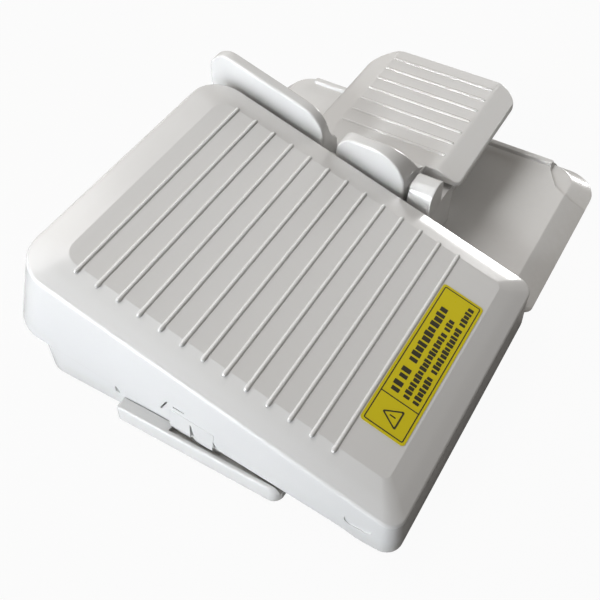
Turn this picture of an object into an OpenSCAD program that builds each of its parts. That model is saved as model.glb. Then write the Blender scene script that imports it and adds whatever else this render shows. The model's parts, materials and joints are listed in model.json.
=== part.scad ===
// Foot controller of a sewing machine: a wide tread pedal on its own base, a
// small side pedal with an upturned guard, and the mounting plate that joins them.
//
// The bench frame has x = 0 at the plate's left edge, y = 0 at its heel edge and
// z = 0 on the ground; bench() moves it to the part's own origin, which is
// under the middle of the whole controller. +Y points to the toe end.

/* [Main pedal] */
// Width of the tread pedal
pedal_w = 174; // [150:1:210]
// Length of the tread, measured along its slope
pedal_len = 225; // [190:1:270]
// Height of the tread's edge at the heel
heel_h = 27.5; // [25:0.5:34]
// Slope of the tread
slope = 17.5; // [15:0.5:20]
// Width of the bevel around the flat of the tread
bevel_w = 17.5; // [12:0.5:20]
// Drop of that bevel
bevel_drop = 5; // [3:0.5:7]
// Wall thickness of the tread cover
cover_wall = 2.6; // [2:0.1:3.2]
// Flare of the toe wall from the vertical
toe_flare = 22; // [12:1:26]
// Slope of the cover's bottom rim
rim_slope = 9.1; // [8:0.1:9.5]
// Full travel of the tread pedal, in degrees
tread_travel = 5; // [3:0.5:5]

/* [Ribs and label] */
// Number of ribs on the tread
rib_count = 13; // [9:1:15]
// Distance between two ribs of the tread
rib_pitch = 12.5; // [10:0.5:13]
// Height of a rib above its surface
rib_rise = 0.8; // [0.5:0.1:1.2]
// Radius of a rib's rounded back
rib_r = 1.3; // [1.2:0.1:1.8]
// Width of the label
label_w = 98; // [80:1:110]
// Height of the label
label_h = 25.5; // [20:0.5:26]

/* [Mounting plate] */
// Width of the plate's ledge beside the tread pedal
ledge_w = 4; // [4:0.5:8]
// Height of the ledge
ledge_h = 11; // [10:0.5:12]
// Width of the tray, from the tread pedal to the plate's right edge
tray_w = 134.5; // [128:0.5:160]
// Depth of the plate, heel to toe
plate_d = 237; // [228:1:260]
// Height of the tray's floor
tray_h = 9.5; // [8.5:0.5:10.5]
// Height of the raised rim on the tray's right edge
tray_rim_h = 11.8; // [10.8:0.1:13]
// Depth of the tongue that passes under the main base
tongue_d = 102.5; // [90:0.5:110]
// Place of the tongue's heel edge
tongue_y = 64.5; // [60:0.5:70]

/* [Side pedal] */
// Width of the side pedal's tread, from the guards to its outer edge
side_w = 126.5; // [118:0.5:130]
// Height of the side pedal's tread
side_h = 54; // [52:0.5:58]
// Depth of the side pedal's tread
side_d = 103; // [96:1:112]
// Full travel of the side pedal, in degrees
side_travel = 8; // [5:0.5:8]
// Number of ribs on the side pedal
side_rib_count = 7; // [5:1:7]
// Distance between two ribs of the side pedal
side_rib_pitch = 12.2; // [10:0.1:12.5]
// Thickness of the upright guards
guard_t = 7.5; // [6:0.5:9]
// Radius of the hinge barrels
barrel_r = 9; // [7:0.5:9]

/* [Fits and hardware] */
// Radius of the tread pedal's axle
axle_r = 3; // [2.5:0.1:3.5]
// Radius of the side pedal's axle
side_axle_r = 2.5; // [2:0.1:3]
// Radial clearance of a shaft in its bore
run_fit = 0.05; // [0.03:0.01:0.08]
// Gap between neighbouring shells
shell_gap = 1.9; // [1.5:0.1:2.2]
// Wall thickness of the bases
base_wall = 2.5; // [2:0.1:3]
// Height of the shells above the ground, on their rubber feet
foot_h = 1; // [0.6:0.1:1.5]
// Radius of a rubber foot
foot_r = 7; // [5:0.5:8]
// Radius of a screw's shank
screw_r = 1.7; // [1.5:0.1:2]
// Radius of a jack socket's bore
jack_r = 3.2; // [2.5:0.1:3.4]

/* [Hidden] */
$fn = 48;

shell_white = [0.87, 0.86, 0.84];
inner_grey = [0.55, 0.56, 0.58];
steel = [0.72, 0.73, 0.75];
rubber_grey = [0.25, 0.25, 0.26];

// Places across the width
pedal_x = ledge_w;
pedal_right = pedal_x + pedal_w;
side_x = pedal_right + 4.5;
total_w = pedal_right + tray_w;
// Thickness of the thin slices that a hull runs through
slab_t = 0.1;

// The tread's sloped frame: x from the left edge, y up the slope from the heel
// edge, z out of the flat of the tread
heel_y = 1.3;
tread_y = heel_y - bevel_drop * sin(slope);
tread_z = heel_h + bevel_drop * cos(slope);
toe_y = heel_y + pedal_len * cos(slope);
toe_z = heel_h + pedal_len * sin(slope);
// Corner radii of the tread's edge and of its flat, at the heel and at the toe
heel_corner_r = 9;
toe_corner_r = 20;
flat_heel_r = 4;
flat_toe_r = 9;
// Radius that rounds the bevel over into the walls, and where the toe wall starts
round_r = 3;
wall_y = toe_y + round_r * sin(slope);
wall_z = toe_z - round_r * cos(slope);
// Height of the plane that lies n above the flat of the tread, at y
function tread_at(y, n = 0) = tread_z + (y - tread_y) * tan(slope) + n / cos(slope);

// Bottom rim of the cover: level at the heel, then a straight slope
heel_clear = 1.6;
rim_start_y = 30;
rim_start_z = 5;
function rim_at(y) = rim_start_z + (y - rim_start_y) * tan(rim_slope);
// The toe lip, where the flared toe wall meets the rim
lip_y = (wall_y + (wall_z - rim_start_z + rim_start_y * tan(rim_slope)) * tan(toe_flare))
    / (1 + tan(rim_slope) * tan(toe_flare));
// Level just below the ground that the cover's closed form runs down to
form_low = -1;
ground_toe_y = wall_y + (wall_z - form_low - slab_t) * tan(toe_flare);
total_d = max(lip_y, plate_d);

// Pedal axle
axle_y = 22;
axle_z = 17;
lug_t = 8;

// Main base, inside the cover
base_x = pedal_x + cover_wall + shell_gap;
base_right = pedal_right - cover_wall - shell_gap;
base_y = heel_y + cover_wall + shell_gap + 0.6;
base_toe = toe_y + 11;
base_floor = foot_h + base_wall;
base_heel_h = 18;
base_top = 44;
tongue_top = 5.6;
tongue_toe = tongue_y + tongue_d;
channel_gap = 0.8;
bridge_floor = tongue_top + channel_gap + base_wall;

// Saddles of the axle, with the frame's lugs just inside them
saddle_t = 10;
saddle_in = 6;
flange_t = 1;
flange_play = 0.3;
saddle_x = [base_x + saddle_in, base_right - saddle_in - saddle_t];
lug_x = [saddle_x[0] + saddle_t + flange_t + flange_play, saddle_x[1] - flange_t - flange_play - lug_t];

// Hooks of the cover's left wall, which hold it down against the springs: they
// catch the top edge of a window in the main base
hook_toe = 131.4;
hook_w = 26.5;
hook_low = 4;
hook_rise = 13;
hook_proud = 0.3;
hook_slit = 117.6;
barb_t = 4.5;
barb_reach = 3.2;
barb_top = rim_at(hook_toe) + 6.8;
hook_drop = (hook_toe - axle_y) * sin(tread_travel);

// Frame under the cover, in the sloped frame
frame_t = 2;
frame_top = -cover_wall;
frame_in = bevel_w + 2;
window_pitch = 38;
mid_x = pedal_x + pedal_w / 2;

// Springs, stops and the sensor under the frame
spring_x = [pedal_x + 46, pedal_right - 46];
spring_y = toe_y - 26;
spring_r = 7.5;
spring_wire = 1.3;
seat_r = spring_r + 2.5;
seat_depth = 3;
spring_low = 21;
spring_high = 63;
stop_x = [pedal_x + 34, pedal_right - 34];
stop_y = 150;
stop_post_z = 50;
bumper_r = 6;
bumper_t = 4;
stop_drop = (stop_y - axle_y) * sin(tread_travel);
bumper_top = stop_post_z - stop_drop - 0.8;
sensor_y = 120;
slider_r = 2;
slider_top = 46;
touch_gap = 0.3;

// Boards
board_t = 1.6;
standoff = 3;
board_w = 60;
board_d = 44;
board_z = bridge_floor + standoff;
board_hole_x = board_w / 2 - 4;
board_hole_y = board_d / 2 - 4;

// Jacks in the toe wall
jack_x = pedal_right - 48;
side_jack_x = pedal_right - 28;
jack_z = 12;
jack_nose_r = 5;

// Feet and screws of the plate
plate_screw_x = [pedal_x + 36, pedal_right - 36];
plate_screw_y = tongue_y + tongue_d / 2;
side_screw_y = [98, 146];
side_screw_x = side_x + 57;
foot_t = 2.5;

// Side pedal
side_axle_x = side_x + barrel_r;
side_axle_z = side_h - 1.5;
side_right = side_x + side_w;
side_y = 66;
side_toe = side_y + side_d;
side_wall = 3;
ear_y = 72;
ear_toe = 87;
guard_y = 89.5;
guard_toe = 134.8;
guard_h = 78.3;
tower_y = 143;
tower_toe = 152;
bearing_r = 5.5;
bearing_left_r = min(8.5, barrel_r - 0.5);
bearing_top = side_axle_z + barrel_r - 1.5;
clip_room = 2.5;
fixed_guard_toe = 221;
fixed_guard_h = 109.7;
housing_y = 79.5;
housing_toe = 160;
housing_right = side_right - 13;
housing_high = side_h - 12;
housing_low = side_h - 22;
side_floor_t = 2.5;
side_mid_y = (housing_y + housing_toe) / 2;
function housing_at(x) = housing_high
    + (housing_low - housing_high) * (x - side_x - 26) / (housing_right - side_x - 26);

side_spring_x = side_x + 77;
side_spring_r = 6.5;
side_spring_low = 26;
side_bumper_x = side_x + 98;
side_bumper_r = 5;
side_bumper_top = housing_at(side_bumper_x) + 2.4;
side_sensor_x = side_x + 29.5;
side_plunger_top = 38;
side_plunger_r = 1.5;
side_board_x = side_x + 52;
side_board_peg_y = side_mid_y - 12;
side_gland_x = side_x + 64;

// ---- Helpers -------------------------------------------------------------

function unit(v) = v / norm(v);

// Points of one corner p of an outline, rounded to radius r
function corner(a, p, b, r, n) = r <= 0 ? [p] :
    let (u = unit(a - p), v = unit(b - p), half = acos(u * v) / 2,
        c = p + unit(u + v) * r / sin(half), d = r / tan(half),
        s = p + u * d - c, e = p + v * d - c)
    [for (i = [0:n]) c + r * unit(s * (1 - i / n) + e * i / n)];

// Outline through [x, y, radius] corners
function outline(p, n = 8) = [for (i = [0:len(p) - 1]) let (
        a = p[(i + len(p) - 1) % len(p)], q = p[i], b = p[(i + 1) % len(p)])
    each corner([a[0], a[1]], [q[0], q[1]], [b[0], b[1]], q[2], n)];

function rect(x0, y0, x1, y1, r) = outline([[x0, y0, r], [x1, y0, r], [x1, y1, r], [x0, y1, r]]);

module bench() translate([-total_w / 2, -total_d / 2, 0]) children();

// Puts children in the tread's sloped frame
module on_slope() translate([pedal_x, tread_y, tread_z]) rotate([slope, 0, 0]) children();

// Extrudes a (y, z) shape along x, and an (x, z) shape along y
module along_x(x0, x1) translate([x0, 0, 0]) rotate([90, 0, 90]) linear_extrude(x1 - x0) children();
module along_y(y0, y1) translate([0, y1, 0]) rotate([90, 0, 0]) linear_extrude(y1 - y0) children();

module post(x, y, z0, z1, r) translate([x, y, z0]) cylinder(h = z1 - z0, r = r);
module block(x0, y0, z0, x1, y1, z1) translate([x0, y0, z0]) cube([x1 - x0, y1 - y0, z1 - z0]);
module slab(points) linear_extrude(slab_t) polygon(points);

module rod_x(x0, x1, y, z, r) translate([x0, y, z]) rotate([0, 90, 0]) cylinder(h = x1 - x0, r = r);
module rod_y(y0, y1, x, z, r) translate([x, y1, z]) rotate([90, 0, 0]) cylinder(h = y1 - y0, r = r);

// Pan-head screw pointing up, its head's underside at z
module screw(x, y, z, length) {
    post(x, y, z, z + length, screw_r);
    difference() {
        post(x, y, z - 2, z, screw_r * 2);
        block(x - 2.2, y - 0.4, z - 2.5, x + 2.2, y + 0.4, z - 1.3);
    }
}

// Round wire wound into a compression spring
module coil(x, y, z0, z1, r, wire, turns) {
    steps = 14;
    sides = 8;
    rings = turns * steps;
    rise = (z1 - z0 - wire) / rings;
    ring = [for (i = [0:rings]) let (a = i * 360 / steps) [for (k = [0:sides - 1])
        let (b = k * 360 / sides, q = r + wire / 2 * cos(b))
        [x + q * cos(a), y + q * sin(a), z0 + wire / 2 + rise * i + wire / 2 * sin(b)]]];
    polyhedron(points = [for (a = ring) each a], faces = concat(
        [[for (k = [0:sides - 1]) k]],
        [for (i = [0:rings - 1], k = [0:sides - 1]) let (m = (k + 1) % sides)
            [i * sides + k, (i + 1) * sides + k, (i + 1) * sides + m, i * sides + m]],
        [[for (k = [sides - 1:-1:0]) rings * sides + k]]));
}

// ---- Tread pedal -----------------------------------------------------------

// The closed outer form of the cover, moved in by t on every face
module cover_form(t) hull() {
    on_slope() translate([0, 0, -t - slab_t])
        slab(tread_plan(bevel_w, flat_heel_r, flat_toe_r));
    for (a = [0:30:90]) on_slope() translate([0, 0, -bevel_drop - t - round_r * (1 - sin(a))])
        slab(tread_plan(t + round_r * (1 - cos(a)), heel_corner_r - t, toe_corner_r - t));
    translate([0, 0, form_low]) slab(outline([[pedal_x + t, heel_y + t, heel_corner_r - t],
        [pedal_right - t, heel_y + t, heel_corner_r - t],
        [pedal_right - t, ground_toe_y - t / cos(toe_flare), toe_corner_r + 6 - t],
        [pedal_x + t, ground_toe_y - t / cos(toe_flare), toe_corner_r + 6 - t]]));
}

// The tread's outline moved in by d, with its radii at the heel and at the toe
function tread_plan(d, heel_r, toe_r) = outline([[d, d, heel_r], [pedal_w - d, d, heel_r],
    [pedal_w - d, pedal_len - d, toe_r], [d, pedal_len - d, toe_r]]);

module above_rim() along_x(pedal_x - 1, pedal_right + 1)
    polygon(outline([[-10, heel_clear, 0], [rim_start_y - 7, heel_clear, 8],
        [rim_start_y, rim_start_z, 6], [lip_y + 20, rim_at(lip_y + 20), 0],
        [lip_y + 20, toe_z + 40, 0], [-10, toe_z + 40, 0]]));

screw_in = 41;
screw_place = [for (x = [screw_in, pedal_w - screw_in], y = [32, pedal_len - 50]) [x, y]];
first_rib = pedal_len - 28.75;
rib_x = 13.5;

module tread_rib(i) on_slope() rod_x(rib_x, pedal_w - rib_x - 2.5, first_rib - i * rib_pitch,
    rib_rise - rib_r, rib_r);

// Pad that carries the hooks, square to the rim
module hooks() {
    translate([pedal_x, hook_toe, rim_at(hook_toe)]) rotate([rim_slope, 0, 0])
        translate([-hook_proud, -hook_w, -hook_low])
        cube([cover_wall + hook_proud, hook_w, hook_low + hook_rise]);
    inside = pedal_x + cover_wall;
    for (y = [hook_slit + 4, hook_slit - 12]) along_y(y, y + 8) polygon([[inside - 0.5, barb_top - barb_t],
        [inside + barb_reach, barb_top - 1], [inside + barb_reach, barb_top], [inside - 0.5, barb_top]]);
}

// Slits that let the hooks flex
module hook_slits() along_x(pedal_x - 1, pedal_x + cover_wall + 0.4) {
    polygon([[hook_slit - 2, 10], [hook_slit + 2, 10], [hook_slit + 0.3, barb_top + 0.5],
        [hook_slit - 0.3, barb_top + 0.5]]);
    polygon([[hook_slit - 18, 10], [hook_slit - 13, 10], [hook_slit - 13, barb_top - 5]]);
    polygon([[hook_slit + 3, barb_top + 8], [hook_slit + 9.5, barb_top + 9],
        [hook_slit + 9.5, barb_top + 10], [hook_slit + 3, barb_top + 9]]);
    polygon([[hook_slit + 17.5, barb_top + 2], [hook_slit + 18.5, barb_top + 2.3],
        [hook_slit + 13.5, barb_top + 11.5], [hook_slit + 12.7, barb_top + 11]]);
}

module main_pedal_cover() color(shell_white) bench() {
    difference() {
        union() {
            intersection() {
                cover_form(0);
                above_rim();
            }
            for (i = [0:rib_count - 1]) tread_rib(i);
        }
        cover_form(cover_wall);
        // Shallow oval marks of the axle's ends on both side walls
        for (x = [pedal_x, pedal_right]) {
            for (s = [-1, 1]) rod_x(x - 0.5, x + 0.5, axle_y + s * 3.5, axle_z, 4);
            block(x - 0.5, axle_y - 3.5, axle_z - 4, x + 0.5, axle_y + 3.5, axle_z + 4);
        }
        hook_slits();
    }
    difference() {
        hooks();
        hook_slits();
    }
    // Screw sockets that pass through the frame's holes
    for (p = screw_place) on_slope() difference() {
        post(p[0], p[1], frame_top - 7, frame_top + 0.5, 3.4);
        post(p[0], p[1], frame_top - 8, frame_top - 1, screw_r - 0.2);
    }
}

module warning_label() color([0.85, 0.78, 0.05]) bench() on_slope()
    translate([pedal_w / 2 - 1 - label_w / 2, first_rib - (rib_count - 1) * rib_pitch - 1.6 - label_h, 0])
    linear_extrude(0.25) polygon(rect(0, 0, label_w, label_h, 2));

module frame_post(x, y, z, r) intersection() {
    post(x, y, z, toe_z, r);
    under_frame();
}

// Everything that lies below the frame plate's top face
module under_frame() along_x(pedal_x, pedal_right) polygon([[0, 0], [toe_y, 0],
    [toe_y, tread_at(toe_y, frame_top - frame_t / 2)], [0, tread_at(0, frame_top - frame_t / 2)]]);

module frame_lug(x) difference() {
    along_x(x, x + lug_t) polygon(outline([[axle_y - 9, axle_z - 9, 8.9], [axle_y + 9, axle_z - 9, 8.9],
        [axle_y + 11, tread_at(axle_y + 11, frame_top - 1), 0],
        [axle_y - 1.5, tread_at(axle_y - 1.5, frame_top - 1), 0],
        [axle_y - 9, axle_z + 5, 3]]));
    rod_x(x - 1, x + lug_t + 1, axle_y, axle_z, axle_r + 2 + run_fit);
}

module pedal_frame() color(inner_grey) bench() {
    difference() {
        on_slope() translate([0, 0, frame_top - frame_t])
            linear_extrude(frame_t) difference() {
            polygon(rect(frame_in, frame_in, pedal_w - frame_in, pedal_len - frame_in, 14));
            for (p = screw_place) translate(p) circle(r = 3.6);
            // Lightening windows
            for (i = [0:2], j = [0:2])
                translate([pedal_w / 2 + (i - 1) * window_pitch, 74 + j * window_pitch])
                polygon(rect(-12, -9, 12, 9, 4));
        }
    }
    for (x = lug_x) frame_lug(x);
    for (x = spring_x) difference() {
        frame_post(x, spring_y, spring_high - seat_depth, seat_r);
        post(x, spring_y, spring_high - seat_depth - 1, spring_high, spring_r + spring_wire / 2 + 0.4);
    }
    for (x = stop_x) frame_post(x, stop_y, stop_post_z, bumper_r);
    frame_post(mid_x, sensor_y, slider_top + touch_gap, 4);
}

module cover_screws() color(steel) bench() on_slope() for (p = screw_place)
    screw(p[0], p[1], frame_top - 7, 5);

module pedal_bushes() color([0.9, 0.9, 0.88]) bench() for (i = [0, 1]) difference() {
    x = lug_x[i];
    // The flange faces the saddle
    flange_x = i == 0 ? x - flange_t : x + lug_t;
    union() {
        rod_x(x, x + lug_t, axle_y, axle_z, axle_r + 2);
        rod_x(flange_x, flange_x + flange_t, axle_y, axle_z, axle_r + 4);
    }
    rod_x(x - 2, x + lug_t + 2, axle_y, axle_z, axle_r + run_fit);
}

// ---- Main base ---------------------------------------------------------------

module base_side(x0, x1, t, floor_z, bridge_z, top) along_x(x0, x1) polygon(concat(
    [[base_y + t, floor_z]],
    bridge_z > 0 ? [[tongue_y - channel_gap - base_wall, floor_z],
        [tongue_y - channel_gap - base_wall, bridge_z],
        [tongue_toe + channel_gap + base_wall, bridge_z],
        [tongue_toe + channel_gap + base_wall, floor_z]] : [],
    [[base_toe - t, floor_z], [base_toe - t, top], [base_toe * 0.7, top],
        [base_y + t, bridge_z > 0 ? top : base_heel_h]]));

module base_plan(t) translate([0, 0, -1]) linear_extrude(80)
    polygon(rect(base_x + t, base_y + t, base_right - t, base_toe - t, 15 - t));

foot_place = [[base_x + 13, base_y + 14], [base_right - 13, base_y + 14],
    [base_x + 13, base_toe - 14], [base_right - 13, base_toe - 14]];

module axle_saddle(x0, x1) difference() {
    block(x0, axle_y - 8, base_floor - 0.5, x1, axle_y + 8, axle_z);
    rod_x(x0 - 1, x1 + 1, axle_y, axle_z, axle_r + run_fit);
    for (s = [-1, 1]) post((x0 + x1) / 2, axle_y + s * 5.6, 8, axle_z + 1, screw_r - 0.4);
}

module main_base() color(shell_white) bench() {
    difference() {
        union() {
            difference() {
                intersection() {
                    base_plan(0);
                    base_side(base_x, base_right, 0, foot_h, 0, base_top);
                }
                intersection() {
                    base_plan(base_wall);
                    base_side(base_x, base_right, base_wall, base_floor, bridge_floor, toe_z);
                }
            }
            for (p = foot_place) post(p[0], p[1], foot_h, base_floor + 1.5, foot_r + 2);
            for (x = plate_screw_x) post(x, plate_screw_y, bridge_floor - 0.5, bridge_floor + 8, 4.5);
            for (x = spring_x) post(x, spring_y, base_floor - 0.5, spring_low + seat_depth, seat_r);
            for (x = stop_x) post(x, stop_y, bridge_floor - 0.5, bumper_top - bumper_t, bumper_r + 1.5);
            for (sx = [-1, 1], sy = [-1, 1])
                post(mid_x + sx * board_hole_x, sensor_y + sy * board_hole_y, bridge_floor - 0.5, board_z, 3);
            for (x = saddle_x) axle_saddle(x, x + saddle_t);
        }
        // Channel for the mounting plate's tongue
        block(base_x - 1, tongue_y - channel_gap, 0, base_right + 1, tongue_toe + channel_gap,
            tongue_top + channel_gap);
        for (p = foot_place) post(p[0], p[1], 0, foot_t, foot_r + 0.1);
        for (x = plate_screw_x) post(x, plate_screw_y, 0, bridge_floor + 6.5, screw_r - 0.1);
        for (x = spring_x)
            post(x, spring_y, spring_low, spring_low + 4, spring_r + spring_wire / 2 + 0.4);
        for (sx = [-1, 1], sy = [-1, 1])
            post(mid_x + sx * board_hole_x, sensor_y + sy * board_hole_y, bridge_floor + 0.5, board_z + 1,
                screw_r - 0.5);
        for (x = [jack_x, side_jack_x])
            rod_y(base_toe - base_wall - 1, base_toe + 1, x, jack_z, jack_nose_r + 0.1);
        // Window that the cover's hooks catch, and a notch at the ledge's toe end
        block(base_x - 1, hook_toe - hook_w - 6, barb_top - barb_t - hook_drop - 0.3,
            base_x + base_wall + 0.5, hook_toe + 1.5, barb_top + 0.4);
        along_x(base_x - 1, base_x + 1.2) polygon([[tongue_toe + 2, 12], [tongue_toe + 5, 12],
            [tongue_toe + 4, 25]]);
    }
}

module pedal_axle() color(steel) bench()
    rod_x(saddle_x[0] + 0.3, saddle_x[1] + saddle_t - 0.3, axle_y, axle_z, axle_r);

module axle_caps() color(inner_grey) bench() for (x = saddle_x) difference() {
    block(x, axle_y - 8, axle_z + 0.05, x + saddle_t, axle_y + 8, axle_z + 5.5);
    rod_x(x - 1, x + saddle_t + 1, axle_y, axle_z, axle_r + run_fit);
    for (s = [-1, 1]) post(x + saddle_t / 2, axle_y + s * 5.6, axle_z - 1, axle_z + 7, 1.6);
}

module axle_cap_screws() color(steel) bench() for (x = saddle_x, s = [-1, 1]) {
    post(x + saddle_t / 2, axle_y + s * 5.6, 10, axle_z + 5.5, screw_r - 0.4);
    post(x + saddle_t / 2, axle_y + s * 5.6, axle_z + 5.5, axle_z + 7, 2.4);
}

module return_spring(x) color(steel) bench()
    coil(x, spring_y, spring_low, spring_high, spring_r, spring_wire, 7);
module return_spring_left() return_spring(spring_x[0]);
module return_spring_right() return_spring(spring_x[1]);

module stop_bumpers() color(rubber_grey) bench() for (x = stop_x)
    post(x, stop_y, bumper_top - bumper_t, bumper_top, bumper_r);

module main_board() color([0.1, 0.4, 0.25]) bench() difference() {
    translate([mid_x, sensor_y, board_z]) linear_extrude(board_t)
        polygon(rect(-board_w / 2, -board_d / 2, board_w / 2, board_d / 2, 2));
    for (sx = [-1, 1], sy = [-1, 1])
        post(mid_x + sx * board_hole_x, sensor_y + sy * board_hole_y, board_z - 1, board_z + 3, 1.6);
}

module board_screws() color(steel) bench() for (sx = [-1, 1], sy = [-1, 1]) {
    post(mid_x + sx * board_hole_x, sensor_y + sy * board_hole_y, bridge_floor + 1, board_z + board_t, screw_r - 0.5);
    post(mid_x + sx * board_hole_x, sensor_y + sy * board_hole_y, board_z + board_t, board_z + board_t + 1.4, 2.4);
}

board_top = board_z + board_t;

module board_components() color([0.15, 0.15, 0.16]) bench() {
    block(mid_x - 22, sensor_y - 7, board_top, mid_x - 12, sensor_y + 7, board_top + 2);
    for (i = [0:2]) post(mid_x + 11 + i * 5.5, sensor_y - 14, board_top, board_top + 8, 2.5);
    block(mid_x + 10, sensor_y + 12, board_top, mid_x + 21, sensor_y + 18, board_top + 7);
    block(mid_x - 16, sensor_y + 12, board_top, mid_x - 5, sensor_y + 18, board_top + 7);
    for (i = [0:3]) block(mid_x - 20 + i * 4, sensor_y - 17, board_top, mid_x - 18 + i * 4, sensor_y - 14, board_top + 0.8);
}

sensor_top = slider_top - 11;

module sensor_body() color([0.2, 0.22, 0.25]) bench() difference() {
    translate([mid_x, sensor_y, board_top]) linear_extrude(sensor_top - board_top)
        polygon(rect(-8, -6, 8, 6, 1));
    post(mid_x, sensor_y, board_top + 1.2, sensor_top + 1, slider_r + run_fit);
}

module sensor_slider() color([0.9, 0.9, 0.88]) bench() {
    post(mid_x, sensor_y, board_top + 10.5, slider_top - 1, slider_r);
    post(mid_x, sensor_y, slider_top - 2, slider_top, 3.6);
}

module jack(x, bore) difference() {
    union() {
        block(x - 8, base_toe - base_wall - 19, base_floor + 2, x + 8, base_toe - base_wall - 0.1, jack_z + 8);
        rod_y(base_toe - base_wall - 0.5, base_toe + 3.2, x, jack_z, jack_nose_r);
    }
    rod_y(base_toe - base_wall - 14, base_toe + 4, x, jack_z, bore);
}
module machine_jack() color([0.12, 0.12, 0.13]) bench() jack(jack_x, jack_r);
module side_pedal_jack() color([0.12, 0.12, 0.13]) bench() jack(side_jack_x, jack_r * 0.56);

module jack_nuts() color(steel) bench() for (x = [jack_x, side_jack_x]) difference() {
    rod_y(base_toe + 0.05, base_toe + 2.4, x, jack_z, 7);
    rod_y(base_toe - 1, base_toe + 4, x, jack_z, jack_nose_r + 0.08);
}

module feet(place) color(rubber_grey) bench() for (p = place)
    post(p[0], p[1], 0, foot_t - 0.05, foot_r);
module base_feet() feet(foot_place);

// ---- Mounting plate ----------------------------------------------------------

plate_foot_place = [[pedal_right + 24, 20], [total_w - 44, 24], [pedal_right + 24, plate_d - 22],
    [total_w - 32, plate_d - 26], [pedal_x + 16, plate_screw_y]];
tray_left = pedal_right + 0.8;
tray_edge = total_w - 7.5;
pocket_y = 32;

// Outline of the tray, drawn in from the ground to the floor's level
module tray_form() hull() {
    translate([0, 0, foot_h]) slab(outline([[tray_left, 0, 6], [total_w, 0, 22],
        [total_w, plate_d, 20], [tray_left, plate_d, 4]]));
    translate([0, 0, tray_h - slab_t]) slab(outline([[tray_left, 15.5, 0.5], [tray_edge, 15.5, 15],
        [tray_edge, plate_d - 8, 15], [tray_left, plate_d - 8, 4]]));
}

module tray_rim() hull() {
    translate([0, 0, tray_h - 1]) slab(rect(tray_edge - 4.5, pocket_y, tray_edge + 0.2, plate_d - 20, 0.8));
    translate([0, 0, tray_rim_h]) slab(rect(tray_edge - 3.6, pocket_y + 0.6, tray_edge - 1.2, plate_d - 20.6, 0.8));
}

// Lower corner of the tray, beyond the end of its rim
module corner_pocket() translate([0, 0, 5]) linear_extrude(20) polygon(outline([
    [tray_edge - 31, -10, 0], [total_w + 20, -10, 0], [total_w + 20, pocket_y, 0],
    [tray_edge - 9, pocket_y, 6], [tray_edge - 24, pocket_y - 12, 6], [tray_edge - 24, 14, 2]]));

// Ledge beside the tread pedal; the cover's wall comes down into its groove
module ledge() difference() {
    intersection() {
        along_x(0, base_x - 0.5) polygon(outline([[tongue_y, foot_h, 0], [tongue_toe, foot_h, 0],
            [tongue_toe, ledge_h, 2], [tongue_y, ledge_h, 5]]));
        linear_extrude(ledge_h + 1) polygon(outline([[0, tongue_y, 6], [base_x, tongue_y, 0],
            [base_x, tongue_toe, 0], [0, tongue_toe, 3]]));
    }
    // Drafted outer face
    along_y(tongue_y - 1, tongue_toe + 1) polygon([[-1, 2], [0, 2], [1.2, ledge_h + 0.1], [-1, ledge_h + 0.1]]);
    along_x(pedal_x - 0.6, pedal_x + cover_wall + 0.4) polygon([[tongue_y - 1, pressed_rim(tongue_y - 1)],
        [tongue_toe + 1, pressed_rim(tongue_toe + 1)], [tongue_toe + 1, 40], [tongue_y - 1, 40]]);
    // Room for the hooks when the tread is down
    along_x(pedal_x - 0.6, pedal_x + cover_wall + 0.4) polygon([
        [hook_toe - hook_w - 2, pressed_rim(hook_toe - hook_w - 2) - hook_low],
        [hook_toe + 2, pressed_rim(hook_toe + 2) - hook_low], [hook_toe + 2, 40], [hook_toe - hook_w - 2, 40]]);
}
function pressed_rim(y) = rim_at(y) - (y - axle_y) * sin(tread_travel) - 1;

module plate_boss(x, y, z) post(x, y, foot_h, z, 6);

module mounting_plate() color(shell_white) bench() difference() {
    union() {
        difference() {
            union() {
                tray_form();
                tray_rim();
            }
            corner_pocket();
            // Cells under the tray, between its stiffening webs
            for (x = [tray_left + 3:33:tray_edge - 30], y = [20:33:plate_d - 36])
                block(x, y, 0, x + 30, y + 30, tray_h - 2.5 > 5 ? min(tray_h - 2.5, 7) : 3);
        }
        difference() {
            block(2, tongue_y, foot_h, tray_left + 3, tongue_toe, tongue_top);
            for (x = [base_x + 3:27:tray_left - 27], y = [tongue_y + 4:32.5:tongue_toe - 30])
                block(x, y, 0, x + 24, y + 29.5, tongue_top - 2.4);
        }
        ledge();
        for (x = plate_screw_x) plate_boss(x, plate_screw_y, tongue_top);
        for (y = side_screw_y) plate_boss(side_screw_x, y, tray_h);
        for (p = plate_foot_place) post(p[0], p[1], foot_h, 5, foot_r + 2);
    }
    for (x = plate_screw_x) {
        post(x, plate_screw_y, 0, tongue_top + 1, screw_r + 0.2);
        post(x, plate_screw_y, 0, foot_h + 2.2, screw_r * 2 + 0.3);
    }
    for (y = side_screw_y) {
        post(side_screw_x, y, 0, tray_h + 1, screw_r + 0.2);
        post(side_screw_x, y, 0, foot_h + 4.2, screw_r * 2 + 0.3);
    }
    for (p = plate_foot_place) post(p[0], p[1], 0, foot_t, foot_r + 0.1);
}

module plate_feet() feet(plate_foot_place);

module plate_screws() color(steel) bench() {
    for (x = plate_screw_x) screw(x, plate_screw_y, foot_h + 2.2, 10);
    for (y = side_screw_y) screw(side_screw_x, y, foot_h + 4.2, 12);
}

// ---- Side pedal ------------------------------------------------------------

// Plan of the side housing, drawn in by t
module housing_plan(t) linear_extrude(120) polygon(outline([
    [side_x + t, ear_y + t, 1], [side_x + 37 - t, ear_y + t, 4], [side_x + 50.5, housing_y + t, 4],
    [housing_right - t, housing_y + t, 6], [housing_right - t, housing_toe - t, 6],
    [side_x + t, housing_toe - t, 1]]));

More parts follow.
